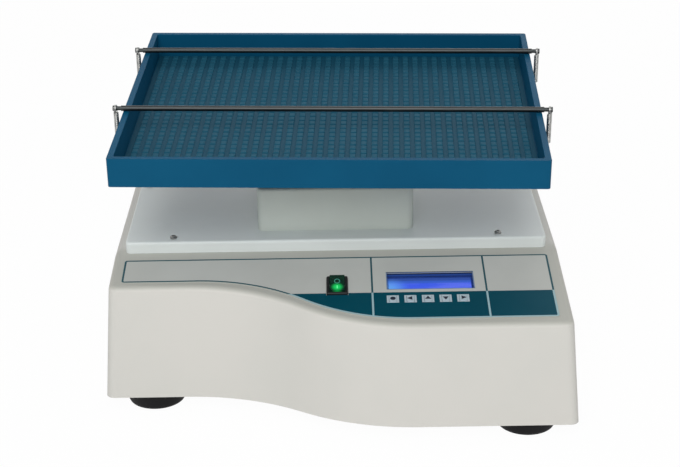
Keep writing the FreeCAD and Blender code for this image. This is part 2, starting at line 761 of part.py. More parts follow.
def make_base():
    """The sheet base plate, its feet and their screws."""
    inset = WALL + BASE_CLEARANCE
    plate = Part.Face(housing_wire(BASE_BOTTOM, inset)).extrude(Vector(0, 0, BASE_SHEET))
    for x, y in base_boss_places() + foot_places() + frame_feet():
        plate = plate.cut(cylinder(SCREW_SHANK / 2, BASE_BOTTOM - 1, BASE_TOP + 1, x, y))
    add("base_plate", plate)
    feet = []
    screws = []
    for x, y in foot_places():
        foot = Part.makeCone(FOOT_BOTTOM_RADIUS, FOOT_RADIUS, BASE_BOTTOM, Vector(x, y, 0), UP)
        foot = foot.makeFillet(FOOT_ROUNDING, top_edges(foot, 0.0))
        foot = foot.cut(cylinder(FOOT_RECESS_RADIUS, -1, FOOT_RECESS_DEPTH, x, y))
        foot = foot.cut(cylinder(SCREW_SHANK / 2, 0, BASE_BOTTOM + 1, x, y))
        feet.append(foot)
        length = BASE_TOP - FOOT_RECESS_DEPTH + SCREW_BITE
        screws.append(screw(x, y, FOOT_RECESS_DEPTH, length, up=False))
    add("rubber_feet", Part.makeCompound(feet))
    add("foot_screws", Part.makeCompound(screws))
    fixing = [screw(x, y, BASE_BOTTOM, BASE_BOSS_HEIGHT / 2 - 1, up=False) for x, y in base_boss_places()]
    add("base_plate_screws", Part.makeCompound(fixing))


def make_cover():
    """The pressed cover on the deck, its screws, and the turret over the crank."""
    cover = rounded_block(-COVER_HALF_WIDTH, COVER_HALF_WIDTH, CREASE_Y, COVER_BACK,
                          DECK_HEIGHT, COVER_TOP, COVER_CORNER)
    cover = cover.makeFillet(COVER_EDGE, top_edges(cover, COVER_TOP))
    s = COVER_SHEET
    hollow = rounded_block(s - COVER_HALF_WIDTH, COVER_HALF_WIDTH - s, CREASE_Y + s, COVER_BACK - s,
                           DECK_HEIGHT - 1, COVER_TOP - s, COVER_CORNER - s)
    cover = cover.cut(hollow).cut(cylinder(COVER_BORE / 2, DECK_HEIGHT, COVER_TOP + 1))
    screws = []
    for x, y in cover_screw_places():
        cover = cover.cut(cylinder(SMALL_SHANK / 2, DECK_HEIGHT, COVER_TOP + 1, x, y))
        screws.append(screw(x, y, COVER_TOP, COVER_HEIGHT - SCREW_BITE, head=SMALL_HEAD,
                            rise=SMALL_HEAD_HEIGHT, shank=SMALL_SHANK))
    for x, y in turret_lugs():
        cover = cover.cut(cylinder(SMALL_SHANK / 2, DECK_HEIGHT, COVER_TOP + 1, x, y))
    for point in guide_screws():
        cover = cover.cut(cylinder(SMALL_SHANK / 2, DECK_HEIGHT, COVER_TOP + 1, point.x, point.y))
    add("top_cover", cover)

    half_w = TURRET_WIDTH / 2
    half_d = TURRET_DEPTH / 2
    turret = rounded_block(-half_w, half_w, -half_d, half_d, COVER_TOP, TURRET_TOP, TURRET_EDGE)
    turret = turret.makeFillet(TURRET_EDGE / 2, top_edges(turret, TURRET_TOP))
    t = TURRET_WALL
    hollow = rounded_block(t - half_w, half_w - t, t - half_d, half_d - t, COVER_TOP - 1,
                           TURRET_TOP - t, TURRET_EDGE - t)
    turret = turret.cut(hollow).cut(cylinder(TURRET_BORE / 2, COVER_TOP, TURRET_TOP + 1))
    lip = ring(TURRET_BORE / 2 + t, TURRET_BORE / 2, TURRET_TOP - 2 * t, TURRET_TOP - t / 2)
    turret = turret.fuse(lip)
    for x, y in turret_lugs():
        lug = cylinder(TURRET_LUG_RADIUS, COVER_TOP, TURRET_TOP - t / 2, x, y)
        turret = turret.fuse(lug)
    for x, y in turret_lugs():
        turret = turret.cut(cylinder(SMALL_SHANK / 2, COVER_TOP - 1, COVER_TOP + TURRET_HEIGHT / 2, x, y))
        screws.append(screw(x, y, COVER_TOP - COVER_SHEET, TURRET_HEIGHT / 3, up=False,
                            head=SMALL_HEAD, rise=SMALL_HEAD_HEIGHT, shank=SMALL_SHANK))
    add("turret_cover", turret.removeSplitter())
    seat = COVER_TOP + GUIDE_BASE_SHEET
    for point in guide_screws():
        length = GUIDE_BASE_SHEET + COVER_SHEET + SCREW_BITE
        screws.append(screw(point.x, point.y, seat, length, head=SMALL_HEAD,
                            rise=SMALL_HEAD_HEIGHT, shank=SMALL_SHANK))
    add("cover_screws", Part.makeCompound(screws))


def turret_lugs():
    """Places of the lugs in the turret's corners."""
    dx = TURRET_WIDTH / 2 - TURRET_LUG_INSET
    dy = TURRET_DEPTH / 2 - TURRET_LUG_INSET
    return [(sx * dx, sy * dy) for sx in (-1, 1) for sy in (-1, 1)]


def guide_screws():
    """Places of the two screws that hold the guide post."""
    reach = GUIDE_BASE_WIDTH / 2 - SMALL_HEAD
    return [GUIDE_FRAME.multVec(Vector(side * reach, GUIDE_RADIUS, 0)) for side in (-1, 1)]


def make_guide():
    """The slotted post on the deck, and the arm and pin on the tray that run in it."""
    half = GUIDE_WIDTH / 2
    near = GUIDE_RADIUS - GUIDE_DEPTH / 2
    far = GUIDE_RADIUS + GUIDE_DEPTH / 2
    base_y = GUIDE_BASE_DEPTH / 2
    guide_top = PIVOT_HEIGHT + GUIDE_RISE
    post = rounded_block(-GUIDE_BASE_WIDTH / 2, GUIDE_BASE_WIDTH / 2, GUIDE_RADIUS - base_y,
                         GUIDE_RADIUS + base_y, COVER_TOP, COVER_TOP + GUIDE_BASE_SHEET, PLATE_CORNER)
    post = post.fuse(block(-half, half, near, far, COVER_TOP, guide_top))
    slot = GUIDE_PIN / 2 + GUIDE_SLOT_GAP
    slot_low = PIVOT_HEIGHT - GUIDE_SLOT_DROP + slot
    post = post.cut(block(-slot, slot, near - 1, far + 1, slot_low, guide_top + 1))
    post = post.cut(rod(slot, Vector(0, near - 1, slot_low), Vector(0, far + 1, slot_low)))
    post = placed(post, GUIDE_FRAME)
    for point in guide_screws():
        post = post.cut(cylinder(SMALL_SHANK / 2, COVER_TOP - 1, guide_top, point.x, point.y))
    add("guide_post", post.removeSplitter())

    top = HUB_TOP
    half = GUIDE_ARM_WIDTH / 2
    outer = GUIDE_ARM_INNER + GUIDE_ARM_THICKNESS
    arm = block(-half, half, GUIDE_ARM_INNER, outer, GUIDE_ARM_BOTTOM, top)
    arm = arm.fuse(block(-half, half, GUIDE_ARM_INNER, SPIDER_HALF_Y, top - GUIDE_ARM_THICKNESS / 2, top))
    arm = arm.cut(rod(GUIDE_PIN / 3, Vector(0, GUIDE_ARM_INNER - 1, 0), Vector(0, outer + 1, 0)))
    hole_y = SPIDER_HALF_Y - SCREW_INSET
    arm = arm.cut(cylinder(SMALL_SHANK / 2, top - GUIDE_ARM_THICKNESS, top + 1, 0, hole_y))
    add("guide_arm", arm.removeSplitter(), TRAY_FRAME)
    pin = rod(GUIDE_PIN / 2, Vector(0, GUIDE_RADIUS - GUIDE_PIN_REACH, 0), Vector(0, GUIDE_ARM_INNER, 0))
    pin = pin.fuse(rod(GUIDE_PIN / 3, Vector(0, GUIDE_ARM_INNER, 0), Vector(0, outer, 0)))
    pin = pin.fuse(rod(GUIDE_PIN / 2, Vector(0, outer, 0), Vector(0, outer + GUIDE_PIN_HEAD, 0)))
    add("guide_pin", pin.removeSplitter(), TRAY_FRAME)


def make_panel():
    """The printed overlay, display, keypad and power switch on the sloping panel."""
    wire = stepped_wire(OVERLAY_HALF_WIDTH, -OVERLAY_TOP, -OVERLAY_LEFT_BOTTOM,
                        -OVERLAY_LEFT_BOTTOM - OVERLAY_STEP, OVERLAY_STEP_X, STEP_RADIUS, 0.0,
                        OVERLAY_CORNER, 0.0)
    overlay = placed(Part.Face(wire).extrude(Vector(0, 0, OVERLAY_THICKNESS)), PANEL_FRAME)
    bezel_gap = 2 * KEY_GAP
    overlay = overlay.cut(panel_block(SWITCH_X, SWITCH_DOWN, SWITCH_BEZEL_WIDTH + bezel_gap,
                                      SWITCH_BEZEL_LENGTH + bezel_gap, -1, 1))
    overlay = overlay.cut(panel_block(DISPLAY_X, DISPLAY_DOWN, WINDOW_WIDTH, WINDOW_HEIGHT, -1, 1))
    key_names = ["key_enter", "key_left", "key_up", "key_down", "key_right"]
    for index, name in enumerate(key_names):
        x = key_x(index)
        overlay = overlay.cut(panel_block(x, KEY_DOWN, KEY_WIDTH + 2 * KEY_GAP, KEY_HEIGHT + 2 * KEY_GAP,
                                          -1, 1, KEY_CORNER + KEY_GAP))
        cap = panel_block(x, KEY_DOWN, KEY_WIDTH, KEY_HEIGHT, -KEY_FLANGE_DROP,
                          OVERLAY_THICKNESS + KEY_PROUD, KEY_CORNER)
        flange = panel_block(x, KEY_DOWN, KEY_WIDTH + 2 * KEY_FLANGE, KEY_HEIGHT + 2 * KEY_FLANGE,
                             -KEY_FLANGE_DROP - KEY_FLANGE_THICKNESS, -KEY_FLANGE_DROP, KEY_CORNER)
        add(name, cap.fuse(flange).removeSplitter())
    add("panel_overlay", overlay)

    length = key_row_width() + 4 * (BOARD_BOSS_RADIUS + BOARD_MARGIN)
    board = panel_block(key_row_center(), KEY_DOWN, length, KEYPAD_BOARD_HEIGHT,
                        -WALL - BOARD_THICKNESS, -WALL)
    for x, down in keypad_bosses():
        peg = cylinder(BOARD_BOSS_RADIUS / 2 + PEG_GAP, -WALL - 2 * BOARD_THICKNESS, 0, x, -down)
        board = board.cut(placed(peg, PANEL_FRAME))
    add("keypad_board", board)

    lens = panel_block(DISPLAY_X, DISPLAY_DOWN, WINDOW_WIDTH - 2 * WINDOW_CLEARANCE,
                       WINDOW_HEIGHT - 2 * WINDOW_CLEARANCE, -WALL, -WALL + WINDOW_THICKNESS)
    add("display_window", lens)
    floor = -WALL - MODULE_DEPTH
    frame = panel_block(DISPLAY_X, DISPLAY_DOWN, MODULE_WIDTH, MODULE_HEIGHT, floor, -WALL)
    glass = panel_block(DISPLAY_X, DISPLAY_DOWN, WINDOW_WIDTH, WINDOW_HEIGHT,
                        -WALL - GLASS_DROP - GLASS_THICKNESS, -WALL - GLASS_DROP)
    opening = panel_block(DISPLAY_X, DISPLAY_DOWN, WINDOW_WIDTH - 2 * MODULE_LIP,
                          WINDOW_HEIGHT - 2 * MODULE_LIP, -WALL - 1.5 * GLASS_DROP, -WALL + 1)
    add("display_module", frame.cut(glass).cut(opening))
    panel = panel_block(DISPLAY_X, DISPLAY_DOWN, WINDOW_WIDTH, WINDOW_HEIGHT,
                        -WALL - GLASS_DROP - GLASS_THICKNESS, -WALL - GLASS_DROP)
    add("display_glass", panel)
    board = panel_block(DISPLAY_X, DISPLAY_DOWN, DISPLAY_BOARD_WIDTH, DISPLAY_BOARD_HEIGHT,
                        floor - BOARD_THICKNESS, floor)
    screws = []
    for x, down in display_board_bosses():
        hole = cylinder(SMALL_SHANK / 2, floor - 2 * BOARD_THICKNESS, floor + 1, x, -down)
        board = board.cut(placed(hole, PANEL_FRAME))
        fixing = screw(x, -down, floor - BOARD_THICKNESS, BOARD_THICKNESS, up=False,
                       head=SMALL_HEAD, rise=SMALL_HEAD_HEIGHT, shank=SMALL_SHANK)
        screws.append(placed(fixing, PANEL_FRAME))
    add("display_board", board)
    add("display_board_screws", Part.makeCompound(screws))
    make_switch()


def make_switch():
    """The rocker power switch: bezel and body in one moulding, and the rocker on its trunnions."""
    bezel = rounded_block(SWITCH_X - SWITCH_BEZEL_WIDTH / 2, SWITCH_X + SWITCH_BEZEL_WIDTH / 2,
                          -SWITCH_DOWN - SWITCH_BEZEL_LENGTH / 2, -SWITCH_DOWN + SWITCH_BEZEL_LENGTH / 2,
                          0, SWITCH_BEZEL_HEIGHT, SWITCH_CORNER)
    bezel = bezel.makeFillet(SWITCH_EDGE, top_edges(bezel, SWITCH_BEZEL_HEIGHT))
    x1 = SWITCH_X - SWITCH_BODY_WIDTH / 2
    y1 = -SWITCH_DOWN - SWITCH_BODY_LENGTH / 2
    body = bezel.fuse(block(x1, x1 + SWITCH_BODY_WIDTH, y1, y1 + SWITCH_BODY_LENGTH, -SWITCH_BODY_DEPTH, 0))
    well_w = ROCKER_WIDTH / 2 + ROCKER_GAP
    reach = math.hypot(ROCKER_HALF_LENGTH, ROCKER_END_HEIGHT)
    well_l = reach + ROCKER_GAP
    well_bottom = ROCKER_PIVOT_HEIGHT - ROCKER_BELLY_RADIUS - 2 * ROCKER_GAP
    body = body.cut(block(SWITCH_X - well_w, SWITCH_X + well_w, -SWITCH_DOWN - well_l,
                          -SWITCH_DOWN + well_l, well_bottom, SWITCH_BEZEL_HEIGHT + 1))
    pivot = Vector(SWITCH_X, -SWITCH_DOWN, ROCKER_PIVOT_HEIGHT)
    half_axle = ROCKER_WIDTH / 2 + TRUNNION_LENGTH
    hole_r = ROCKER_TRUNNION / 2 + TRUNNION_CLEARANCE
    hole_end = Vector(half_axle + TRUNNION_CLEARANCE, 0, 0)
    body = body.cut(rod(hole_r, pivot - hole_end, pivot + hole_end))
    tabs = []
    wide = SWITCH_TAB_WIDTH / 2
    thick = SWITCH_TAB_THICKNESS / 2
    for side in (-1, 1):
        y = -SWITCH_DOWN + side * SWITCH_BODY_LENGTH / 4
        tabs.append(block(SWITCH_X - wide, SWITCH_X + wide, y - thick, y + thick,
                          -SWITCH_BODY_DEPTH - SWITCH_TAB_LENGTH, -SWITCH_BODY_DEPTH))
    add("power_switch_body", body.multiFuse(tabs).removeSplitter(), PANEL_FRAME)

    top = [
        Vector(0, -ROCKER_HALF_LENGTH, ROCKER_END_HEIGHT),
        Vector(0, 0, ROCKER_MIDDLE_HEIGHT),
        Vector(0, ROCKER_HALF_LENGTH, ROCKER_END_HEIGHT),
    ]
    skirt = ROCKER_BELLY_RADIUS
    right_corner = Vector(0, ROCKER_HALF_LENGTH, ROCKER_LEDGE_HEIGHT)
    left_corner = Vector(0, -ROCKER_HALF_LENGTH, ROCKER_LEDGE_HEIGHT)
    belly = Part.Arc(Vector(0, skirt, 0), Vector(0, 0, -skirt), Vector(0, -skirt, 0)).toShape()
    edges = [Part.LineSegment(a, b).toShape() for a, b in (
        (left_corner, top[0]),
        (top[0], top[1]),
        (top[1], top[2]),
        (top[2], right_corner),
        (right_corner, Vector(0, skirt, 0)),
    )]
    edges.append(belly)
    edges.append(Part.LineSegment(Vector(0, -skirt, 0), left_corner).toShape())
    profile = Part.Face(Part.Wire(edges))
    profile.translate(Vector(-ROCKER_WIDTH / 2, 0, 0))
    rocker = profile.extrude(Vector(ROCKER_WIDTH, 0, 0))
    axle = Vector(half_axle, 0, 0)
    rocker = rocker.fuse(rod(ROCKER_TRUNNION / 2, Vector() - axle, axle))
    rocker = placed(rocker.removeSplitter(), Placement(pivot, Rotation(RIGHT, ROCKER_THROW / 2)))
    add("power_rocker", rocker, PANEL_FRAME)


def make_inlet():
    """The mains inlet with its pins and the fuse drawer under the socket."""
    face = INLET_FACE_Y
    seat = face - INLET_FLANGE_THICKNESS
    flange = block(INLET_X - INLET_FLANGE_WIDTH / 2, INLET_X + INLET_FLANGE_WIDTH / 2, seat, face,
                   INLET_Z - INLET_FLANGE_HEIGHT / 2, INLET_Z + INLET_FLANGE_HEIGHT / 2)
    body = flange.fuse(block(INLET_X - INLET_BODY_WIDTH / 2, INLET_X + INLET_BODY_WIDTH / 2,
                             face - INLET_BODY_DEPTH, seat,
                             INLET_Z - INLET_BODY_HEIGHT / 2, INLET_Z + INLET_BODY_HEIGHT / 2))
    middle = INLET_Z + SOCKET_UP
    w = SOCKET_WIDTH / 2
    h = SOCKET_HEIGHT / 2
    c = SOCKET_CHAMFER
    back = face - SOCKET_DEPTH
    outline = [(-w, -h), (w, -h), (w, h - c), (w - c, h), (c - w, h), (-w, h - c), (-w, -h)]
    wire = Part.makePolygon([Vector(INLET_X + x, back, middle + z) for x, z in outline])
    body = body.cut(Part.Face(wire).extrude(Vector(0, SOCKET_DEPTH + 1, 0)))
    pins = [(-PIN_SPREAD, -PIN_DROP), (PIN_SPREAD, -PIN_DROP), (0.0, EARTH_PIN_RISE)]
    for x, z in pins:
        px = INLET_X + x
        pz = middle + z
        body = body.fuse(block(px - PIN_WIDTH / 2, px + PIN_WIDTH / 2, back, back + PIN_LENGTH,
                               pz - PIN_HEIGHT / 2, pz + PIN_HEIGHT / 2))
        tail = face - INLET_BODY_DEPTH
        body = body.fuse(block(px - PIN_WIDTH / 2, px + PIN_WIDTH / 2, tail - TAIL_LENGTH, tail,
                               pz - PIN_HEIGHT / 2, pz + PIN_HEIGHT / 2))
    gap = FUSE_SLIDE_GAP
    fz = INLET_Z - FUSE_DOWN
    body = body.cut(block(INLET_X - FUSE_WIDTH / 2 - gap, INLET_X + FUSE_WIDTH / 2 + gap,
                          face - FUSE_DEPTH - gap, face + 1,
                          fz - FUSE_HEIGHT / 2 - gap, fz + FUSE_HEIGHT / 2 + gap))
    screws = []
    for x in inlet_screw_xs():
        body = body.cut(rod(SMALL_SHANK / 2, Vector(x, seat - 1, INLET_Z), Vector(x, face + 1, INLET_Z)))
        sink = Part.makeCone(SMALL_SHANK / 2, SMALL_HEAD / 2, INLET_FLANGE_THICKNESS,
                             Vector(x, seat, INLET_Z), BACK)
        body = body.cut(sink)
        shank = rod(SMALL_SHANK / 2, Vector(x, seat - 2 * INLET_PAD, INLET_Z), Vector(x, seat, INLET_Z))
        slot = block(x - SMALL_HEAD, x + SMALL_HEAD, face - DRIVER_SLOT_DEPTH, face + 1,
                     INLET_Z - DRIVER_SLOT_WIDTH / 2, INLET_Z + DRIVER_SLOT_WIDTH / 2)
        screws.append(sink.fuse(shank).cut(slot))
    add("power_inlet", body.removeSplitter())
    add("power_inlet_screws", Part.makeCompound(screws))
    drawer = block(INLET_X - FUSE_WIDTH / 2, INLET_X + FUSE_WIDTH / 2, face - FUSE_DEPTH, face,
                   fz - FUSE_HEIGHT / 2, fz + FUSE_HEIGHT / 2)
    reach = FUSE_LENGTH / 2 + FUSE_END_GAP
    middle = face - FUSE_DEPTH / 2 - FUSE_FACE / 2
    half = FUSE_DEPTH / 2 - 2 * FUSE_FACE
    bed = fz - FUSE_HEIGHT / 2 + FUSE_FACE
    pocket = block(INLET_X - reach, INLET_X + reach, middle - half, middle + half,
                   bed, fz + FUSE_HEIGHT / 2 + 1)
    notch = block(INLET_X - FUSE_NOTCH / 2, INLET_X + FUSE_NOTCH / 2, face - FUSE_FACE, face + 1,
                  fz - FUSE_HEIGHT / 2 - 1, fz - FUSE_HEIGHT / 2 + FUSE_FACE)
    add("fuse_drawer", drawer.cut(pocket).cut(notch))
    lie = Vector(INLET_X, middle, bed + FUSE_RADIUS)
    fuse = rod(FUSE_RADIUS, lie - Vector(FUSE_LENGTH / 2, 0, 0), lie + Vector(FUSE_LENGTH / 2, 0, 0))
    tube = FUSE_LENGTH / 2 - FUSE_CAP
    waist = ring(FUSE_RADIUS + 1, FUSE_RADIUS - FUSE_WAIST, -tube, tube)
    add("fuse", fuse.cut(placed(waist, Placement(lie, Rotation(BACK, 90)))))


def frame_feet():
    """Places of the screws that hold the bridge to the base plate."""
    x = FRAME_HALF_WIDTH - FRAME_SCREW_INSET
    y = FRAME_HALF_SPAN + FRAME_FOOT / 2
    return [(sx * x, sy * y) for sx in (-1, 1) for sy in (-1, 1)]


def make_frame():
    """The bent steel bridge, bearing housing, bearings and seal that carry the main shaft."""
    t = FRAME_SHEET
    w = FRAME_HALF_WIDTH
    s = FRAME_HALF_SPAN
    top = block(-w, w, -s, s, FRAME_TOP - t, FRAME_TOP)
    bridge = [top]
    for side in (-1, 1):
        inner = side * (s - t)
        outer = side * s
        bridge.append(block(-w, w, min(inner, outer), max(inner, outer), BASE_TOP, FRAME_TOP))
        toe = side * (s + FRAME_FOOT)
        bridge.append(block(-w, w, min(inner, toe), max(inner, toe), BASE_TOP, BASE_TOP + t))
    frame = bridge[0].multiFuse(bridge[1:])
    frame = frame.cut(cylinder(HOUSING_RADIUS, FRAME_TOP - t - 1, FRAME_TOP + 1))
    window = rod(FRAME_LIGHTENING, Vector(0, -2 * s, (BASE_TOP + FRAME_TOP) / 2),
                 Vector(0, 2 * s, (BASE_TOP + FRAME_TOP) / 2))
    frame = frame.cut(window)
    screws = []
    for x, y in frame_feet():
        frame = frame.cut(cylinder(SCREW_SHANK / 2, BASE_TOP - 1, BASE_TOP + t + 1, x, y))
        screws.append(screw(x, y, BASE_TOP + t, t + BASE_SHEET))
    seat = FRAME_TOP + HOUSING_FLANGE
    for index in range(4):
        turn = math.radians(45 + 90 * index)
        x = HOUSING_BOLT_CIRCLE * math.cos(turn)
        y = HOUSING_BOLT_CIRCLE * math.sin(turn)
        frame = frame.cut(cylinder(SCREW_SHANK / 2, FRAME_TOP - t - 1, FRAME_TOP + 1, x, y))
        screws.append(screw(x, y, seat, HOUSING_FLANGE + t))
    add("drive_frame", frame.removeSplitter())

    housing = cylinder(HOUSING_RADIUS, HOUSING_BOTTOM, HOUSING_TOP)
    housing = housing.fuse(cylinder(HOUSING_FLANGE_RADIUS, FRAME_TOP, seat))
    bore = BEARING_OUTER / 2
    housing = housing.cut(cylinder(bore - BEARING_SHOULDER, HOUSING_BOTTOM - 1, HOUSING_TOP + 1))
    housing = housing.cut(cylinder(bore, HOUSING_BOTTOM - 1, HOUSING_BOTTOM + BEARING_WIDTH))
    housing = housing.cut(cylinder(bore, HOUSING_TOP - BEARING_WIDTH, HOUSING_TOP + 1))
    for index in range(4):
        turn = math.radians(45 + 90 * index)
        x = HOUSING_BOLT_CIRCLE * math.cos(turn)
        y = HOUSING_BOLT_CIRCLE * math.sin(turn)
        housing = housing.cut(cylinder(SCREW_SHANK / 2, FRAME_TOP - 1, seat + 1, x, y))
    add("bearing_housing", housing.removeSplitter())
    add("drive_frame_screws", Part.makeCompound(screws))
    inner = SHAFT_DIAMETER / 2 + RUNNING_FIT
    add("shaft_bearings", Part.makeCompound([
        ring(bore, inner, HOUSING_BOTTOM, HOUSING_BOTTOM + BEARING_WIDTH),
        ring(bore, inner, HOUSING_TOP - BEARING_WIDTH, HOUSING_TOP),
    ]))
    add("shaft_seal", ring(HOUSING_RADIUS - SEAL_MARGIN, SHAFT_DIAMETER / 2 + SEAL_LIP_GAP,
                           HOUSING_TOP, HOUSING_TOP + SEAL_THICKNESS))


def make_crank():
    """The main shaft, its pulley, the crank block and the inclined journal."""
    radius = SHAFT_DIAMETER / 2
    shaft_low = PULLEY_BOTTOM - SHAFT_TAIL
    shaft_top = CRANK_TOP - JOURNAL_SEAT - CRANK_WEB
    shaft = cylinder(radius, shaft_low, shaft_top)
    shaft = shaft.makeChamfer(SHAFT_CHAMFER, top_edges(shaft, shaft_low) + top_edges(shaft, shaft_top))
    add("main_shaft", shaft)

    low = CRANK_TOP - CRANK_HEIGHT
    crank = cylinder(CRANK_DIAMETER / 2, low, CRANK_TOP)
    crank = crank.makeChamfer(CRANK_CHAMFER, top_edges(crank, CRANK_TOP) + top_edges(crank, low))
    crank = crank.cut(cylinder(radius, low - 1, shaft_top))
    drop = (PIVOT_HEIGHT - CRANK_TOP) / math.cos(math.radians(TILT)) + JOURNAL_SEAT
    journal = cylinder(radius, -drop, JOURNAL_TOP)
    bore = placed(cylinder(radius, -drop, 0), CRANK_FRAME)
    crank = crank.cut(bore)
    screw_z = (low + shaft_top) / 2
    outer = Vector(CRANK_DIAMETER / 2 + 1, 0, screw_z)
    crank = crank.cut(rod(SMALL_SHANK, Vector(0, 0, screw_z), outer))
    add("crank_block", crank)
    inner = Vector(radius, 0, screw_z)
    set_screw = rod(SMALL_SHANK, inner, Vector(CRANK_DIAMETER / 2 - SET_SCREW_DEPTH, 0, screw_z))
    add("crank_set_screw", set_screw)

    collar_top = HUB_BOTTOM + HUB_BEARING_SETBACK - COLLAR_GAP
    journal = journal.fuse(cylinder(COLLAR_DIAMETER / 2, collar_top - COLLAR_LENGTH, collar_top))
    add("inclined_journal", journal.removeSplitter(), CRANK_FRAME)
    nut = hexagon(NUT_RADIUS, 0.0, 0.0, NUT_LOW).extrude(Vector(0, 0, NUT_HEIGHT))
    nut = nut.cut(cylinder(radius, NUT_LOW - 1, JOURNAL_TOP + 1))
    add("journal_nut", nut, CRANK_FRAME)

    pulley = flanged_pulley(DRIVEN_RADIUS, radius)
    hub_top = HOUSING_BOTTOM - DRIVEN_HUB_GAP
    pulley = pulley.fuse(ring(DRIVEN_HUB_RADIUS, radius, PULLEY_TOP, hub_top))
    mid = (DRIVEN_HUB_RADIUS + DRIVEN_RADIUS - DRIVEN_RIM) / 2
    for index in range(PULLEY_HOLES):
        turn = 2 * math.pi * index / PULLEY_HOLES
        pulley = pulley.cut(cylinder(PULLEY_HOLE_RADIUS, PULLEY_BOTTOM - 1, PULLEY_TOP + 1,
                                     mid * math.cos(turn), mid * math.sin(turn)))
    add("driven_pulley", pulley.removeSplitter())


def flanged_pulley(radius, bore):
    """A flat belt pulley with two rims at the belt's height."""
    rim = radius + PULLEY_RIM + BELT_THICKNESS
    side = (PULLEY_WIDTH - BELT_WIDTH) / 2 - BELT_GAP
    pulley = cylinder(radius, PULLEY_BOTTOM, PULLEY_TOP)
    pulley = pulley.fuse(cylinder(rim, PULLEY_BOTTOM, PULLEY_BOTTOM + side))
    pulley = pulley.fuse(cylinder(rim, PULLEY_TOP - side, PULLEY_TOP))
    return pulley.cut(cylinder(bore, PULLEY_BOTTOM - 1, PULLEY_TOP + 1))


def belt_loop(gap, low, high):
    """A solid bounded by the belt's path round both pulleys, at a gap from them."""
    small = MOTOR_PULLEY_RADIUS + gap
    large = DRIVEN_RADIUS + gap
    span = math.hypot(MOTOR_X, MOTOR_Y)
    turn = math.asin((large - small) / span)
    tops = (Vector(large * math.sin(turn), large * math.cos(turn), low),
            Vector(span + small * math.sin(turn), small * math.cos(turn), low))
    bottoms = (Vector(tops[0].x, -tops[0].y, low), Vector(tops[1].x, -tops[1].y, low))
    edges = [
        Part.LineSegment(tops[0], tops[1]).toShape(),
        Part.Arc(tops[1], Vector(span + small, 0, low), bottoms[1]).toShape(),
        Part.LineSegment(bottoms[1], bottoms[0]).toShape(),
        Part.Arc(bottoms[0], Vector(-large, 0, low), tops[0]).toShape(),
    ]
    solid = Part.Face(Part.Wire(edges)).extrude(Vector(0, 0, high - low))
    heading = math.degrees(math.atan2(MOTOR_Y, MOTOR_X))
    return placed(solid, Placement(Vector(), Rotation(UP, heading)))


def motor_corners():
    """Places of the motor plate's four pillars."""
    reach = MOTOR_PLATE_SIDE / 2 - MOTOR_PILLAR_INSET
    return [(MOTOR_X + dx, MOTOR_Y + sy * reach)
            for dx in (-reach, reach - MOTOR_PILLAR_INSET) for sy in (-1, 1)]


def make_motor():
    """The gear motor on its plate, its pulley and the drive belt."""
    half = MOTOR_PLATE_SIDE / 2
    low = MOTOR_PLATE_TOP - MOTOR_PLATE_SHEET
    plate = rounded_block(MOTOR_X - half, MOTOR_X + half - MOTOR_PILLAR_INSET, MOTOR_Y - half,
                          MOTOR_Y + half, low, MOTOR_PLATE_TOP, MOTOR_PLATE_CORNER)
    plate = plate.cut(cylinder(MOTOR_SHAFT_DIAMETER, low - 1, MOTOR_PLATE_TOP + 1, MOTOR_X, MOTOR_Y))
    screws = []
    for x, y in motor_corners():
        plate = plate.cut(cylinder(SCREW_SHANK / 2, low - 1, MOTOR_PLATE_TOP + 1, x, y))
        screws.append(screw(x, y, MOTOR_PLATE_TOP, MOTOR_PLATE_SHEET + MOTOR_SCREW_GRIP))
    add("motor_plate", plate)
    add("motor_plate_screws", Part.makeCompound(screws))

    motor_top = MOTOR_PLATE_TOP + MOTOR_HEIGHT
    motor = cylinder(MOTOR_RADIUS, MOTOR_PLATE_TOP, motor_top, MOTOR_X, MOTOR_Y)
    motor = motor.makeChamfer(MOTOR_EDGE, top_edges(motor, motor_top))
    groove = (MOTOR_PLATE_TOP + motor_top - MOTOR_GROOVE_WIDTH) / 2
    motor = motor.cut(ring(MOTOR_RADIUS + 1, MOTOR_RADIUS - MOTOR_GROOVE_DEPTH, groove,
                           groove + MOTOR_GROOVE_WIDTH, MOTOR_X, MOTOR_Y))
    add("gear_motor", motor)
    shaft = MOTOR_SHAFT_DIAMETER / 2
    at_motor = Placement(Vector(MOTOR_X, MOTOR_Y, 0), Rotation())
    pulley = placed(flanged_pulley(MOTOR_PULLEY_RADIUS, shaft), at_motor)
    add("motor_pulley", pulley)
    add("motor_shaft", cylinder(shaft, PULLEY_BOTTOM - MOTOR_SHAFT_TAIL, MOTOR_PLATE_TOP - MOTOR_SHAFT_GAP,
                                MOTOR_X, MOTOR_Y))
    belt_low = PULLEY_BOTTOM + (PULLEY_WIDTH - BELT_WIDTH) / 2
    outer = belt_loop(BELT_GAP + BELT_THICKNESS, belt_low, belt_low + BELT_WIDTH)
    add("drive_belt", outer.cut(belt_loop(BELT_GAP, belt_low - 1, belt_low + BELT_WIDTH + 1)))


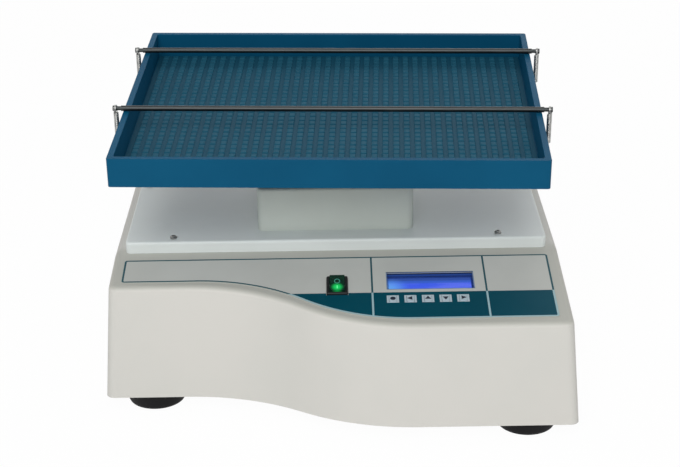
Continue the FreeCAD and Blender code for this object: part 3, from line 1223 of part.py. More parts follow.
def make_electrics():
    """The control board, the transformer, and the pillars that stand on the base plate."""
    floor = BASE_TOP + BOARD_STANDOFF
    x1 = BOARD_X - BOARD_WIDTH / 2
    y1 = BOARD_Y - BOARD_DEPTH / 2
    board = block(x1, x1 + BOARD_WIDTH, y1, y1 + BOARD_DEPTH, floor, floor + BOARD_THICKNESS)
    inset = BOARD_HOLE_INSET
    spots = [(x, y) for x in (x1 + inset, x1 + BOARD_WIDTH - inset)
             for y in (y1 + inset, y1 + BOARD_DEPTH - inset)]
    standoffs = []
    for x, y in spots:
        board = board.cut(cylinder(SMALL_SHANK / 2, floor - 1, floor + BOARD_THICKNESS + 1, x, y))
        standoffs.append(ring(STANDOFF_RADIUS, SMALL_SHANK / 2, BASE_TOP, floor, x, y))
    top = floor + BOARD_THICKNESS
    x2 = x1 + 3 * inset
    y2 = y1 + 3 * inset
    sink_top = top + HEAT_SINK_HEIGHT
    heat_sink = block(x2, x2 + HEAT_SINK_WIDTH, y2, y2 + HEAT_SINK_BACK, top, sink_top)
    for index in range(HEAT_SINK_FINS):
        fin = x2 + index * (HEAT_SINK_WIDTH - FIN_THICKNESS) / (HEAT_SINK_FINS - 1)
        heat_sink = heat_sink.fuse(block(fin, fin + FIN_THICKNESS, y2, y2 + HEAT_SINK_DEPTH, top, sink_top))
    right = x2 + HEAT_SINK_WIDTH + 3 * inset
    parts = [heat_sink]
    for step in (1, 3):
        y = y2 + step * CAPACITOR_RADIUS * 1.5
        parts.append(cylinder(CAPACITOR_RADIUS, top, top + CAPACITOR_HEIGHT, right, y))
    y3 = (y1 + y1 + BOARD_DEPTH) / 2
    parts.append(block(x2, x2 + RELAY_SIDE, y3, y3 + RELAY_SIDE, top, top + RELAY_HEIGHT))
    parts.append(block(right - CHIP_SIDE / 2, right + CHIP_SIDE / 2, y3, y3 + CHIP_SIDE,
                       top, top + CHIP_HEIGHT))
    y4 = y1 + BOARD_DEPTH - 2 * inset - TERMINAL_DEPTH
    parts.append(block(BOARD_X - TERMINAL_WIDTH / 2, BOARD_X + TERMINAL_WIDTH / 2, y4, y4 + TERMINAL_DEPTH,
                       top, top + TERMINAL_HEIGHT))
    add("control_board", board.multiFuse(parts).removeSplitter())
    low = MOTOR_PLATE_TOP - MOTOR_PLATE_SHEET
    for x, y in motor_corners():
        standoffs.append(ring(MOTOR_PILLAR_RADIUS, SCREW_SHANK / 2, BASE_TOP, low, x, y))
    add("base_pillars", Part.makeCompound(standoffs))
    w = TRANSFORMER_WIDTH / 2
    d = TRANSFORMER_DEPTH / 2
    limb = CORE_LIMB
    core = block(TRANSFORMER_X - w, TRANSFORMER_X + w, TRANSFORMER_Y - d, TRANSFORMER_Y + d,
                 BASE_TOP, BASE_TOP + TRANSFORMER_HEIGHT)
    for side in (-1, 1):
        inner = TRANSFORMER_X + side * limb / 2
        outer = TRANSFORMER_X + side * (w - limb)
        core = core.cut(block(min(inner, outer), max(inner, outer), TRANSFORMER_Y - d - 1,
                              TRANSFORMER_Y + d + 1, BASE_TOP + limb, BASE_TOP + TRANSFORMER_HEIGHT - limb))
    coil = block(TRANSFORMER_X - w + limb, TRANSFORMER_X + w - limb, TRANSFORMER_Y - d - COIL_OVERHANG,
                 TRANSFORMER_Y + d + COIL_OVERHANG, BASE_TOP + limb, BASE_TOP + TRANSFORMER_HEIGHT - limb)
    add("transformer", Part.makeCompound([core, coil.cut(core)]))


def make_tray():
    """The hub with its bearings, the spider, the folded tray, the mat, brackets and screws."""
    top = HUB_TOP
    bore = BEARING_OUTER / 2
    lower = HUB_BOTTOM + HUB_BEARING_SETBACK
    upper = top - HUB_TOP_SETBACK - BEARING_WIDTH
    hub = cylinder(HUB_RADIUS, HUB_BOTTOM, top)
    hub = hub.makeChamfer(HUB_EDGE, top_edges(hub, HUB_BOTTOM))
    hub = hub.cut(cylinder(bore, HUB_BOTTOM - 1, lower + BEARING_WIDTH))
    hub = hub.cut(cylinder(HUB_WEB_BORE / 2, HUB_BOTTOM, top + 1))
    hub = hub.cut(cylinder(bore, upper, top + 1))
    add("tray_hub", hub, TRAY_FRAME)
    inner = SHAFT_DIAMETER / 2 + RUNNING_FIT
    add("hub_bearings", Part.makeCompound([
        ring(bore, inner, lower, lower + BEARING_WIDTH),
        ring(bore, inner, upper, upper + BEARING_WIDTH),
    ]), TRAY_FRAME)

    arm = SPIDER_ARM_WIDTH / 2
    spider = block(-SPIDER_HALF_X, SPIDER_HALF_X, -arm, arm, top, TRAY_FLOOR)
    spider = spider.fuse(block(-arm, arm, -SPIDER_HALF_Y, SPIDER_HALF_Y, top, TRAY_FLOOR))
    spider = spider.fuse(cylinder(SPIDER_RING_RADIUS, top, TRAY_FLOOR))
    spider = spider.cut(cylinder(SPIDER_BORE / 2, top - 1, TRAY_FLOOR + 1))
    floor_top = TRAY_FLOOR + TRAY_SHEET
    w = TRAY_WIDTH / 2
    d = TRAY_DEPTH / 2
    rim_top = TRAY_FLOOR + TRAY_HEIGHT
    tray = rounded_block(-w, w, -d, d, TRAY_FLOOR, rim_top, TRAY_CORNER)
    r = TRAY_RIM
    well = rounded_block(r - w, w - r, r - d, d - r, floor_top, rim_top + 1, TRAY_CORNER)
    tray = tray.cut(well)
    tray = tray.makeFillet(RIM_ROUNDING, top_edges(tray, rim_top))
    s = TRAY_SHEET
    channel = rounded_block(s - w, w - s, s - d, d - s, TRAY_FLOOR - 1, rim_top - s, TRAY_CORNER / 2)
    kept = rounded_block(r - s - w, w - r + s, r - s - d, d - r + s, TRAY_FLOOR - 1, rim_top, TRAY_CORNER)
    tray = tray.cut(channel.cut(kept))
    screws = []
    reach_x = SPIDER_HALF_X - SCREW_INSET
    reach_y = SPIDER_HALF_Y - SCREW_INSET
    ring_reach = SPIDER_RING_RADIUS - RING_SCREW_INSET
    places = [(reach_x, 0), (-reach_x, 0), (0, -reach_y), (0, reach_y)]
    places += [(ring_reach, 0), (-ring_reach, 0), (0, -ring_reach)]
    for x, y in places:
        tray = tray.cut(cylinder(SMALL_SHANK / 2, TRAY_FLOOR - 1, floor_top + 1, x, y))
        spider = spider.cut(cylinder(SMALL_SHANK / 2, top - 1, TRAY_FLOOR + 1, x, y))
        arm_under = GUIDE_ARM_THICKNESS / 2 if y > 0 else 0
        screws.append(screw(x, y, top - arm_under, SPIDER_SHEET + s + arm_under, up=False, head=SMALL_HEAD,
                            rise=SMALL_HEAD_HEIGHT, shank=SMALL_SHANK))
    add("tray_spider", spider.removeSplitter(), TRAY_FRAME)

    brackets = []
    half = BRACKET_WIDTH / 2
    low = TRAY_FLOOR - BRACKET_SHEET
    for y in BAR_YS.values():
        for side in (-1, 1):
            x1, x2 = sorted((side * (w - BRACKET_REACH), side * w))
            plate = rounded_block(x1, x2, y - half, y + half, low, TRAY_FLOOR, PLATE_CORNER)
            eye_x = side * (w - BRACKET_EYE_INSET)
            plate = plate.cut(cylinder(BRACKET_EYE / 2, low - 1, TRAY_FLOOR + 1, eye_x, y))
            x = side * (w - BRACKET_REACH + half)
            plate = plate.cut(cylinder(SMALL_SHANK / 2, low - 1, TRAY_FLOOR + 1, x, y))
            tray = tray.cut(cylinder(SMALL_SHANK / 2, TRAY_FLOOR - 1, floor_top + 1, x, y))
            brackets.append(plate)
            screws.append(screw(x, y, low, BRACKET_SHEET + s, up=False, head=SMALL_HEAD,
                                rise=SMALL_HEAD_HEIGHT, shank=SMALL_SHANK))
    add("tray_pan", tray, TRAY_FRAME)
    add("spring_brackets", Part.makeCompound(brackets), TRAY_FRAME)
    add("tray_screws", Part.makeCompound(screws), TRAY_FRAME)
    make_mat(w - r - MAT_GAP, d - r - MAT_GAP, floor_top)


def make_mat(half_x, half_y, low):
    """The rubber mat on the tray's floor, with rows of raised pads between grooves."""
    top = low + MAT_THICKNESS
    mat = rounded_block(-half_x, half_x, -half_y, half_y, low, top, MAT_CORNER)
    for half, across in ((half_x, True), (half_y, False)):
        pads = int(2 * half / PAD_PITCH)
        grooves = []
        for index in range(pads + 1):
            start = (index - pads / 2) * PAD_PITCH - PAD_GAP / 2
            end = start + PAD_GAP
            if across:
                grooves.append(block(start, end, -half_y - 1, half_y + 1, top - PAD_RISE, top + 1))
            else:
                grooves.append(block(-half_x - 1, half_x + 1, start, end, top - PAD_RISE, top + 1))
        mat = mat.cut(grooves)
    add("tray_mat", mat, TRAY_FRAME)


def make_bars():
    """The two sprung hold-down bars with their end knobs, and the springs."""
    rest = TRAY_FLOOR + TRAY_HEIGHT + BAR_DIAMETER / 2 + BAR_REST_GAP
    shoulder = TRAY_WIDTH / 2 + BAR_OVERHANG
    neck = shoulder + BAR_NECK_LENGTH
    for name, y in BAR_YS.items():
        bar = rod(BAR_DIAMETER / 2, Vector(-shoulder, y, rest), Vector(shoulder, y, rest))
        for side in (-1, 1):
            ends = [Vector(side * x, y, rest) for x in (shoulder, neck, neck + BAR_KNOB_LENGTH)]
            bar = bar.fuse(rod(BAR_NECK_DIAMETER / 2, ends[0], ends[1]))
            bar = bar.fuse(rod(BAR_DIAMETER / 2, ends[1], ends[2]))
        add(name + "_bar", bar.removeSplitter(), TRAY_FRAME)
        add(name + "_springs", Part.makeCompound([spring(side, y, rest) for side in (-1, 1)]), TRAY_FRAME)


def spring(side, y, rest):
    """A close-wound spring: a loop over the bar's neck above, and a hook to the bracket's eye below."""
    wire = SPRING_WIRE / 2
    x = side * SPRING_X
    inner = SPRING_LOOP_RADIUS - wire
    center = rest - (inner - BAR_NECK_DIAMETER / 2 - SPRING_GAP)
    coil_top = center - SPRING_LOOP_RADIUS
    coil = cylinder(SPRING_DIAMETER / 2, TRAY_FLOOR - SPRING_DROP, coil_top, x, y)
    loop = Part.makeTorus(SPRING_LOOP_RADIUS, wire, Vector(x, y, center), RIGHT)
    low = TRAY_FLOOR - BRACKET_SHEET - SPRING_GAP - wire
    eye = Vector(side * (TRAY_WIDTH / 2 - BRACKET_EYE_INSET), y, low)
    hook = rod(wire, Vector(x, y, low), eye)
    elbow = Part.makeSphere(wire, eye)
    tip = rod(wire, eye, Vector(eye.x, y, TRAY_FLOOR - SPRING_GAP))
    return coil.multiFuse([loop, hook, elbow, tip]).removeSplitter()


make_housing()
make_base()
make_cover()
make_panel()
make_inlet()
make_frame()
make_crank()
make_motor()
make_guide()
make_electrics()
make_tray()
make_bars()

for name, shape in SHAPES.items():
    shape.exportStep("parts/" + name + ".step")
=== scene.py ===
import bmesh
import bpy
import json
import math
from mathutils import Matrix, Vector
from mathutils.geometry import tessellate_polygon

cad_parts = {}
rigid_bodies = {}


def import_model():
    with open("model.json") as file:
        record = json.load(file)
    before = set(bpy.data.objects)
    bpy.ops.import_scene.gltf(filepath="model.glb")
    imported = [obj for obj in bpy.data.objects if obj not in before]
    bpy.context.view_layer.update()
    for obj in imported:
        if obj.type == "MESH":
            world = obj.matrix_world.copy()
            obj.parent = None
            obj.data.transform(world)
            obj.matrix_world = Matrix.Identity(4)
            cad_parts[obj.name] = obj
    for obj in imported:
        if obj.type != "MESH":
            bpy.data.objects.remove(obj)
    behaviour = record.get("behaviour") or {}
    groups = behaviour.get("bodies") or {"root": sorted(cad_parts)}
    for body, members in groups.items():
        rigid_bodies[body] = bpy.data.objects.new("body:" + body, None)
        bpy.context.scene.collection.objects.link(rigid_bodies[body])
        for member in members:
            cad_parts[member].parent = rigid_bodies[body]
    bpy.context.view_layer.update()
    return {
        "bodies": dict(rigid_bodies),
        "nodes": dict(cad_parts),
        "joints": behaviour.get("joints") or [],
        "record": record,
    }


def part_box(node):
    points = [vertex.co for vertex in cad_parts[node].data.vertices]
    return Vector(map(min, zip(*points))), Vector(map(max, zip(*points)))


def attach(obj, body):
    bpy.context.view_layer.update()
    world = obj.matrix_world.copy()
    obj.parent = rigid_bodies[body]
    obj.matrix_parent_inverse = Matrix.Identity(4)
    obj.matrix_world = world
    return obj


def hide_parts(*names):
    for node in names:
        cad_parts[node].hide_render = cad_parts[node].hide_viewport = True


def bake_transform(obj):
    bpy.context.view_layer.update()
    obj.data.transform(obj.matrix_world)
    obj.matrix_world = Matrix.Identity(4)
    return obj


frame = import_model()
nodes = frame["nodes"]
scene = bpy.context.scene
scene.view_settings.view_transform = "Standard"
MM = 0.001


# Bench, light and camera
# The object stands on a plain white table before a white sheet. A broad soft lamp in front, a
# weaker one behind and an even sky light it, and the camera looks down on its control panel.

class Socket:
    """A socket of a node tree; arithmetic on it adds Math nodes."""

    def __init__(self, graph, link):
        self.graph = graph
        self.link = link

    def math(self, operation, *values):
        return self.graph.node("ShaderNodeMath", {"operation": operation}, dict(enumerate(values)))

    def __add__(self, other):
        return self.math("ADD", self, other)

    def __radd__(self, other):
        return self.math("ADD", other, self)

    def __sub__(self, other):
        return self.math("SUBTRACT", self, other)

    def __rsub__(self, other):
        return self.math("SUBTRACT", other, self)

    def __mul__(self, other):
        return self.math("MULTIPLY", self, other)

    def __truediv__(self, other):
        return self.math("DIVIDE", self, other)

    def __abs__(self):
        return self.math("ABSOLUTE", self)

    def low(self, other):
        """The smaller of two values."""
        return self.math("MINIMUM", self, other)

    def high(self, other):
        """The larger of two values."""
        return self.math("MAXIMUM", self, other)

    def root(self):
        return self.math("SQRT", self.high(0.0))

    def above(self, limit):
        """One where the value is over a limit, else zero."""
        return self.math("GREATER_THAN", self, limit)

    def below(self, limit):
        """One where the value is under a limit, else zero."""
        return self.math("LESS_THAN", self, limit)

    def fade(self, start, end):
        """A smooth change from zero at the start to one at the end."""
        values = {"Value": self, "From Min": start, "From Max": end}
        return self.graph.node("ShaderNodeMapRange", {"interpolation_type": "SMOOTHSTEP"}, values)


class Graph:
    """A node tree, with one method that adds a node of any type."""

    def __init__(self, tree):
        self.tree = tree
        tree.nodes.clear()

    def node(self, kind, settings=None, inputs=None, output=0):
        made = self.tree.nodes.new(kind)
        for name, value in (settings or {}).items():
            setattr(made, name, value)
        for name, value in (inputs or {}).items():
            for part in value if isinstance(value, list) else [value]:
                if isinstance(part, Socket):
                    self.tree.links.new(part.link, made.inputs[name])
                else:
                    made.inputs[name].default_value = part
        return Socket(self, made.outputs[output]) if len(made.outputs) else None

    def seen(self):
        """One for the rays that show the white table and sheet: camera, gloss and glass."""
        names = ("Is Camera Ray", "Is Glossy Ray", "Is Transmission Ray")
        camera, gloss, glass = [self.node("ShaderNodeLightPath", output=name) for name in names]
        return camera.high(gloss).high(glass)


WHITE = (1.0, 1.0, 1.0, 1.0)
TABLE_HALF = 6.0
TABLE_GLOW = 0.97
SKY_LEVEL = 0.36

table_white = bpy.data.materials.new("white_table")
table_white.use_nodes = True
card = Graph(table_white.node_tree)
matt = card.node("ShaderNodeBsdfDiffuse", inputs={"Color": WHITE})
glow = card.node("ShaderNodeEmission", inputs={"Color": WHITE, "Strength": 1.0})
table_face = card.node("ShaderNodeMixShader", inputs={0: card.seen() * TABLE_GLOW, 1: matt, 2: glow})
card.node("ShaderNodeOutputMaterial", inputs={"Surface": table_face})

table_mesh = bpy.data.meshes.new("table_top")
table_corners = [(-TABLE_HALF, -TABLE_HALF, 0), (TABLE_HALF, -TABLE_HALF, 0),
                 (TABLE_HALF, TABLE_HALF, 0), (-TABLE_HALF, TABLE_HALF, 0)]
table_mesh.from_pydata(table_corners, [], [(0, 1, 2, 3)])
table_mesh.materials.append(table_white)
table_top = bpy.data.objects.new("table_top", table_mesh)
scene.collection.objects.link(table_top)

scene.world = bpy.data.worlds.new("white_sheet")
scene.world.use_nodes = True
sky = Graph(scene.world.node_tree)
level = SKY_LEVEL + sky.seen() * (1.0 - SKY_LEVEL)
sheet = sky.node("ShaderNodeBackground", inputs={"Color": WHITE, "Strength": level})
sky.node("ShaderNodeOutputWorld", inputs={"Surface": sheet})


LAMP_AIM = Vector((0, 0, 0.08))


def lamp(name, place, size, power):
    """A square soft lamp that faces the object."""
    light = bpy.data.lights.new(name, "AREA")
    light.size = size
    light.energy = power
    made = bpy.data.objects.new(name, light)
    made.location = place
    made.rotation_euler = (LAMP_AIM - Vector(place)).to_track_quat("-Z", "Y").to_euler()
    scene.collection.objects.link(made)


lamp("front_lamp", (-0.25, -1.85, 1.6), 1.4, 35.0)
lamp("back_lamp", (0.5, 2.3, 1.2), 2.0, 12.0)

CAMERA_PLACE = (0.0011, -1.1261, 0.5807)
CAMERA_YAW = math.radians(-0.11)
CAMERA_PITCH = math.radians(23.62)
CAMERA_ROLL = math.radians(0.87)
CAMERA_LENS = 84.7
SENSOR_WIDTH = 36.0
camera_data = bpy.data.cameras.new("camera")
camera_data.sensor_width = SENSOR_WIDTH
camera_data.lens = CAMERA_LENS
camera = bpy.data.objects.new("camera", camera_data)
camera_turn = Matrix.Rotation(CAMERA_YAW, 4, "Z") @ Matrix.Rotation(-CAMERA_PITCH, 4, "X")
camera_turn = camera_turn @ Matrix.Rotation(CAMERA_ROLL, 4, "Y") @ Matrix.Rotation(math.radians(90), 4, "X")
camera.matrix_world = Matrix.Translation(CAMERA_PLACE) @ camera_turn
scene.collection.objects.link(camera)
scene.camera = camera


# Base plate and feet
# A zinc-plated steel sheet closes the housing from below, held by screws round its edge. Four
# black rubber feet are screwed to it, each with a deep recess for its screw.

def tint(red, green, blue):
    """A colour from its 0 to 255 screen values."""
    parts = [value / 255 for value in (red, green, blue)]
    return tuple(v / 12.92 if v <= 0.04045 else ((v + 0.055) / 1.055) ** 2.4 for v in parts) + (1.0,)


class Finish(Graph):
    """A material's node tree, in the object's own position."""

    def __init__(self, name):
        self.material = bpy.data.materials.new(name)
        self.material.use_nodes = True
        super().__init__(self.material.node_tree)
        self.point = self.node("ShaderNodeTexCoord", output="Object")

    def place(self, point=None):
        """The three parts of a position, in millimetres."""
        source = {0: self.point if point is None else point}
        return [self.node("ShaderNodeSeparateXYZ", inputs=source, output=i) * (1 / MM) for i in range(3)]

    def mix(self, share, first, second):
        """A colour between two, by a share of the second."""
        return self.node("ShaderNodeMix", {"data_type": "RGBA"}, {0: share, 6: first, 7: second}, 2)

    def noise(self, size, detail=3.0):
        """Noise whose lumps are about a size in millimetres, or three sizes along the axes."""
        sizes = size if isinstance(size, tuple) else (size, size, size)
        scale = tuple(1 / (part * MM) for part in sizes)
        spread = self.node("ShaderNodeMapping", inputs={"Vector": self.point, "Scale": scale})
        return self.node("ShaderNodeTexNoise", inputs={"Vector": spread, "Scale": 1.0, "Detail": detail})

    def bump(self, height, depth):
        """A bumped normal from a height of zero to one and a depth in millimetres."""
        return self.node("ShaderNodeBump", inputs={"Height": height, "Distance": depth * MM})

    def finish(self, **values):
        """The material's surface, from the shader's own socket names."""
        names = {key: key.replace("_", " ") for key in values}
        names["Specular"] = "Specular IOR Level"
        inputs = {names[key]: value for key, value in values.items()}
        surface = self.node("ShaderNodeBsdfPrincipled", inputs=inputs)
        self.node("ShaderNodeOutputMaterial", inputs={"Surface": surface})
        return self.material


def grained(name, colour, darker, roughness, grain=0.5, depth=0.02, blotch=30.0, metallic=0.0, specular=0.5):
    """A coat or moulding with soft blotches, a fine grain and an uneven gloss."""
    made = Finish(name)
    cloud = made.noise(blotch)
    fine = made.noise(grain, 2.0)
    return made.finish(
        Base_Color=made.mix(cloud.fade(0.3, 0.7), darker, colour),
        Roughness=roughness + (fine - 0.5) * 0.12 + (cloud - 0.5) * 0.08,
        Metallic=metallic,
        Specular=specular,
        Normal=made.bump(fine, depth),
    )


def drawn(name, colour, darker, roughness, sizes, depth=0.01):
    """A bare metal with fine marks along the direction in which it was worked."""
    made = Finish(name)
    marks = made.noise(sizes)
    return made.finish(
        Base_Color=made.mix(marks.fade(0.3, 0.7), darker, colour),
        Roughness=roughness + (marks - 0.5) * 0.25,
        Metallic=1.0,
        Normal=made.bump(marks, depth),
    )


def dress(material, *names):
    """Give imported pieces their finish."""
    for name in names:
        mesh = nodes[name].data
        mesh.materials.clear()
        mesh.materials.append(material)


def solid(name, points, faces, material):
    """A closed mesh from its points and faces, as a piece of the scene."""
    mesh = bpy.data.meshes.new(name)
    mesh.from_pydata(points, [], faces)
    work = bmesh.new()
    work.from_mesh(mesh)
    bmesh.ops.recalc_face_normals(work, faces=work.faces)
    work.to_mesh(mesh)
    work.free()
    mesh.materials.append(material)
    piece = bpy.data.objects.new(name, mesh)
    scene.collection.objects.link(piece)
    return piece


FOOT_SIDES = 64
FOOT_PLACES = ((-133.0, -92.0), (133.0, -137.0), (-133.0, 135.0), (133.0, 135.0))
FOOT_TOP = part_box("rubber_feet")[1].z / MM
FOOT_PROFILE = ((7.0, 7.0), (7.0, 0.0), (18.5, 0.0), (20.2, 0.7), (21.0, 2.4), (23.0, FOOT_TOP))


def spun_feet(material):
    """The four feet: one profile of radius and height, turned about each foot's middle."""
    points = []
    faces = []
    turns = [2 * math.pi * index / FOOT_SIDES for index in range(FOOT_SIDES)]
    for middle_x, middle_y in FOOT_PLACES:
        start = len(points)
        for radius, height in FOOT_PROFILE:
            for turn in turns:
                x, y = middle_x + radius * math.cos(turn), middle_y + radius * math.sin(turn)
                points.append(Vector((x, y, height)) * MM)
        last = len(points) - FOOT_SIDES
        for low in range(start, last, FOOT_SIDES):
            high = low + FOOT_SIDES
            for index in range(FOOT_SIDES):
                after = (index + 1) % FOOT_SIDES
                faces.append((low + index, low + after, high + after, high + index))
        faces.append(tuple(reversed(range(start, start + FOOT_SIDES))))
        faces.append(tuple(range(last, last + FOOT_SIDES)))
    return solid("round_feet", points, faces, material)


plated_sheet = drawn("plated_sheet", tint(176, 178, 176), tint(150, 153, 152), 0.38, (1.2, 40.0, 1.2))
screw_steel = grained("screw_steel", tint(150, 150, 148), tint(120, 121, 120), 0.35, 0.3, 0.01, 4.0, 1.0)
foot_rubber = grained("foot_rubber", tint(12, 12, 14), tint(8, 8, 10), 0.62, 0.6, 0.05, 9.0, 0.0, 0.2)
dress(plated_sheet, "base_plate")
dress(screw_steel, "base_plate_screws", "foot_screws")
round_feet = spun_feet(foot_rubber)
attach(round_feet, "chassis")
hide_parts("rubber_feet")


# Bridge and bearing housing
# A bent, plated steel bridge stands on the base plate. A turned aluminium housing on it holds the
# main shaft's two ball bearings, with a nylon seal on top.

turned_aluminium = grained("turned_aluminium", tint(190, 192, 194), tint(170, 173, 176), 0.36, 0.5, 0.01,
                           20.0, 1.0)
ground_steel = drawn("ground_steel", tint(186, 188, 190), tint(160, 162, 165), 0.25, (0.8, 0.8, 12.0), 0.004)
nylon = grained("nylon", tint(222, 220, 210), tint(212, 209, 197), 0.5, 0.6, 0.01, 10.0)
dress(plated_sheet, "drive_frame")
dress(screw_steel, "drive_frame_screws")
dress(turned_aluminium, "bearing_housing")
dress(ground_steel, "shaft_bearings")
dress(nylon, "shaft_seal")


# Main shaft and crank
# A ground steel shaft carries a crank block, clamped by a set screw. The block holds a short
# journal at a slant, with a nut on top, and the tray's hub runs on it.

dress(ground_steel, "main_shaft", "inclined_journal", "crank_block")
dress(screw_steel, "crank_set_screw", "journal_nut")


# Motor and belt
# A painted gear motor hangs from its own plate on four pillars. Two aluminium pulleys and a flat
# rubber belt take its speed down to the shaft.

belt_rubber = grained("black_rubber", tint(22, 24, 25), tint(14, 15, 16), 0.72, 0.6, 0.05, 9.0, 0.0, 0.3)
dress(grained("motor_paint", tint(46, 50, 54), tint(38, 42, 45), 0.45, 0.8, 0.02, 12.0), "gear_motor")
dress(ground_steel, "motor_shaft")
dress(plated_sheet, "motor_plate")
dress(screw_steel, "motor_plate_screws")
dress(turned_aluminium, "driven_pulley", "motor_pulley", "base_pillars")
dress(belt_rubber, "drive_belt")


# Transformer and circuit boards
# The transformer is a stack of varnished iron sheets. The boards are glass fibre under a green
# solder mask, on which copper tracks show as a lighter green.

def solder_mask():
    made = Finish("solder_mask")
    x, y, _ = made.place()
    wander = made.noise((9.0, 9.0, 9.0), 1.0) * 6.0
    lane = (x + wander).math("PINGPONG", x + wander, 1.3)
    cross = y.math("PINGPONG", y + wander, 2.1)
    track = lane.below(0.4).high(cross.below(0.35))
    gloss = made.noise(1.4, 2.0)
    return made.finish(
        Base_Color=made.mix(track, tint(14, 78, 44), tint(28, 112, 64)),
        Roughness=0.3 + gloss * 0.15,
        Normal=made.bump(track, 0.03),
    )


laminations = drawn("laminations", tint(92, 90, 88), tint(58, 57, 56), 0.5, (40.0, 0.5, 40.0), 0.05)
dress(laminations, "transformer")
dress(solder_mask(), "control_board", "display_board", "keypad_board")
dress(screw_steel, "display_board_screws")


# Housing
# One off-white plastic moulding with drafted walls, a stepped front and a sloping panel. Its
# surface is finely spark-textured. The panel round the film is painted darker as painted shade,
# and the window's rim is painted dark near the panel face as painted shade and blue deeper in as
# painted light of the display.

PANEL_SLOPE = math.radians(9.65)
CREASE_Y = -67.3
DECK_HEIGHT = 104.3
DISPLAY_X = 66.0
DISPLAY_DOWN = 40.2
WINDOW_WIDTH = 60.5
WINDOW_HEIGHT = 20.0
WINDOW_RIM = 0.4
RIM_DEPTH = 4.0
panel_turn = Matrix.Rotation(PANEL_SLOPE, 3, "X")


def on_panel(parts):
    """Position on the sloping panel: across, down from its top edge, and out from it."""
    x, y, z = parts
    back = y - CREASE_Y
    rise = z - DECK_HEIGHT
    down = back * -math.cos(PANEL_SLOPE) - rise * math.sin(PANEL_SLOPE)
    out = rise * math.cos(PANEL_SLOPE) - back * math.sin(PANEL_SLOPE)
    return x, down, out


def in_window(x, down, margin):
    """One inside the display window widened by a margin, else zero."""
    across = abs(x - DISPLAY_X).below(WINDOW_WIDTH / 2 + margin)
    return across * abs(down - DISPLAY_DOWN).below(WINDOW_HEIGHT / 2 + margin)


def moulded_housing():
    made = Finish("moulded_housing")
    x, down, out = on_panel(made.place())
    cloud = made.noise(70.0)
    spark = made.noise(0.7, 2.0)
    plastic = made.mix(cloud.fade(0.3, 0.7), tint(205, 204, 198), tint(208, 206, 200))
    # Within a few millimetres of the panel's plane, the panel and the rounding below it are painted darker
    # as painted shade.
    panel_painted_shade = made.mix(abs(out).fade(2.6, 0.3), plastic, tint(184, 184, 176))
    # The window's rim is painted dark near the panel face as painted shade, and blue deeper in as painted
    # light of the display.
    rim = in_window(x, down, WINDOW_RIM) * out.below(-0.3) * out.above(-RIM_DEPTH)
    glow = made.mix(out.fade(-0.8, -2.0), tint(14, 32, 48), tint(50, 86, 160))
    return made.finish(
        Base_Color=made.mix(rim, panel_painted_shade, glow),
        Roughness=0.52 + (spark - 0.5) * 0.15,
        Specular=0.35,
        Normal=made.bump(spark, 0.03),
    )


dress(moulded_housing(), "housing_shell")


# Raised cover and turret
# Two steel pressings in a cool white enamel on the deck: a low tray-like cover, and the box
# round the crank. Screws hold the cover. The box's copy of the enamel is written darker, as
# painted shade under the tray.

enamel_coat = (0.42, 1.1, 0.02, 60.0, 0.0, 0.4)
# The turret's enamel is the cover's coat written darker, as painted shade under the tray.
turret_enamel_painted_shade = grained("turret_enamel_painted_shade", tint(203, 210, 203), tint(198, 205, 198), *enamel_coat)
enamel = grained("white_enamel", tint(224, 230, 228), tint(219, 225, 223), *enamel_coat)
dress(enamel, "top_cover")
dress(turret_enamel_painted_shade, "turret_cover")
dress(screw_steel, "cover_screws")


# Printed overlay
# A matt film on the panel, printed silver above and teal below, with a thin border line, two
# dividers, a frame round the display and a pale field round each key. The printed frame is dark
# above as painted shade and pale blue below as painted light. Names and marks are left bare.

FILM_HALF = 152.3
FILM_TOP = 9.3
FILM_LEFT_BOTTOM = 37.6
FILM_RIGHT_BOTTOM = 85.6
FILM_STEP_X = -23.5
FILM_STEP_RADIUS = 130.0
FILM_CORNER = 2.5
CORNER_STEPS = 5
SWING_STEPS = 24
FILM_THICKNESS = 0.5
FILM_GAP = 0.02
HOLE_GAP = 0.3
KEY_FLANGE = 0.7
KEY_HALF_DOWN = 3.4
BAND_TOP = 54.2
DIVIDERS = (25.0, 104.9)
LINE_INSET = 1.1
LINE_WIDTH = 1.35
FRAME_WIDTH = 0.7
KEY_FIELD_X = 4.2
KEY_FIELD_DOWN = 4.3
SWITCH_X = 0.5
SWITCH_DOWN = 45.7
SWITCH_HALF_X = 7.5
SWITCH_HALF_DOWN = 10.5
KEYS = {"key_enter": None, "key_left": 180, "key_up": 90, "key_down": -90, "key_right": 0}
step_drop = FILM_RIGHT_BOTTOM - FILM_LEFT_BOTTOM
step_angle = math.acos(1 - step_drop / (2 * FILM_STEP_RADIUS))
step_run = FILM_STEP_RADIUS * math.sin(step_angle)


def key_place(name):
    """A key's middle on the panel, across and down."""
    low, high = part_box(name)
    return on_panel((low + high) / (2 * MM))[:2]


def arc_points(middle, radius, start, end, count):
    """Points of an arc about a middle, in degrees from the panel's right towards its lower edge."""
    turns = [math.radians(start + (end - start) * index / count) for index in range(count + 1)]
    return [(middle[0] + radius * math.cos(turn), middle[1] + radius * math.sin(turn)) for turn in turns]


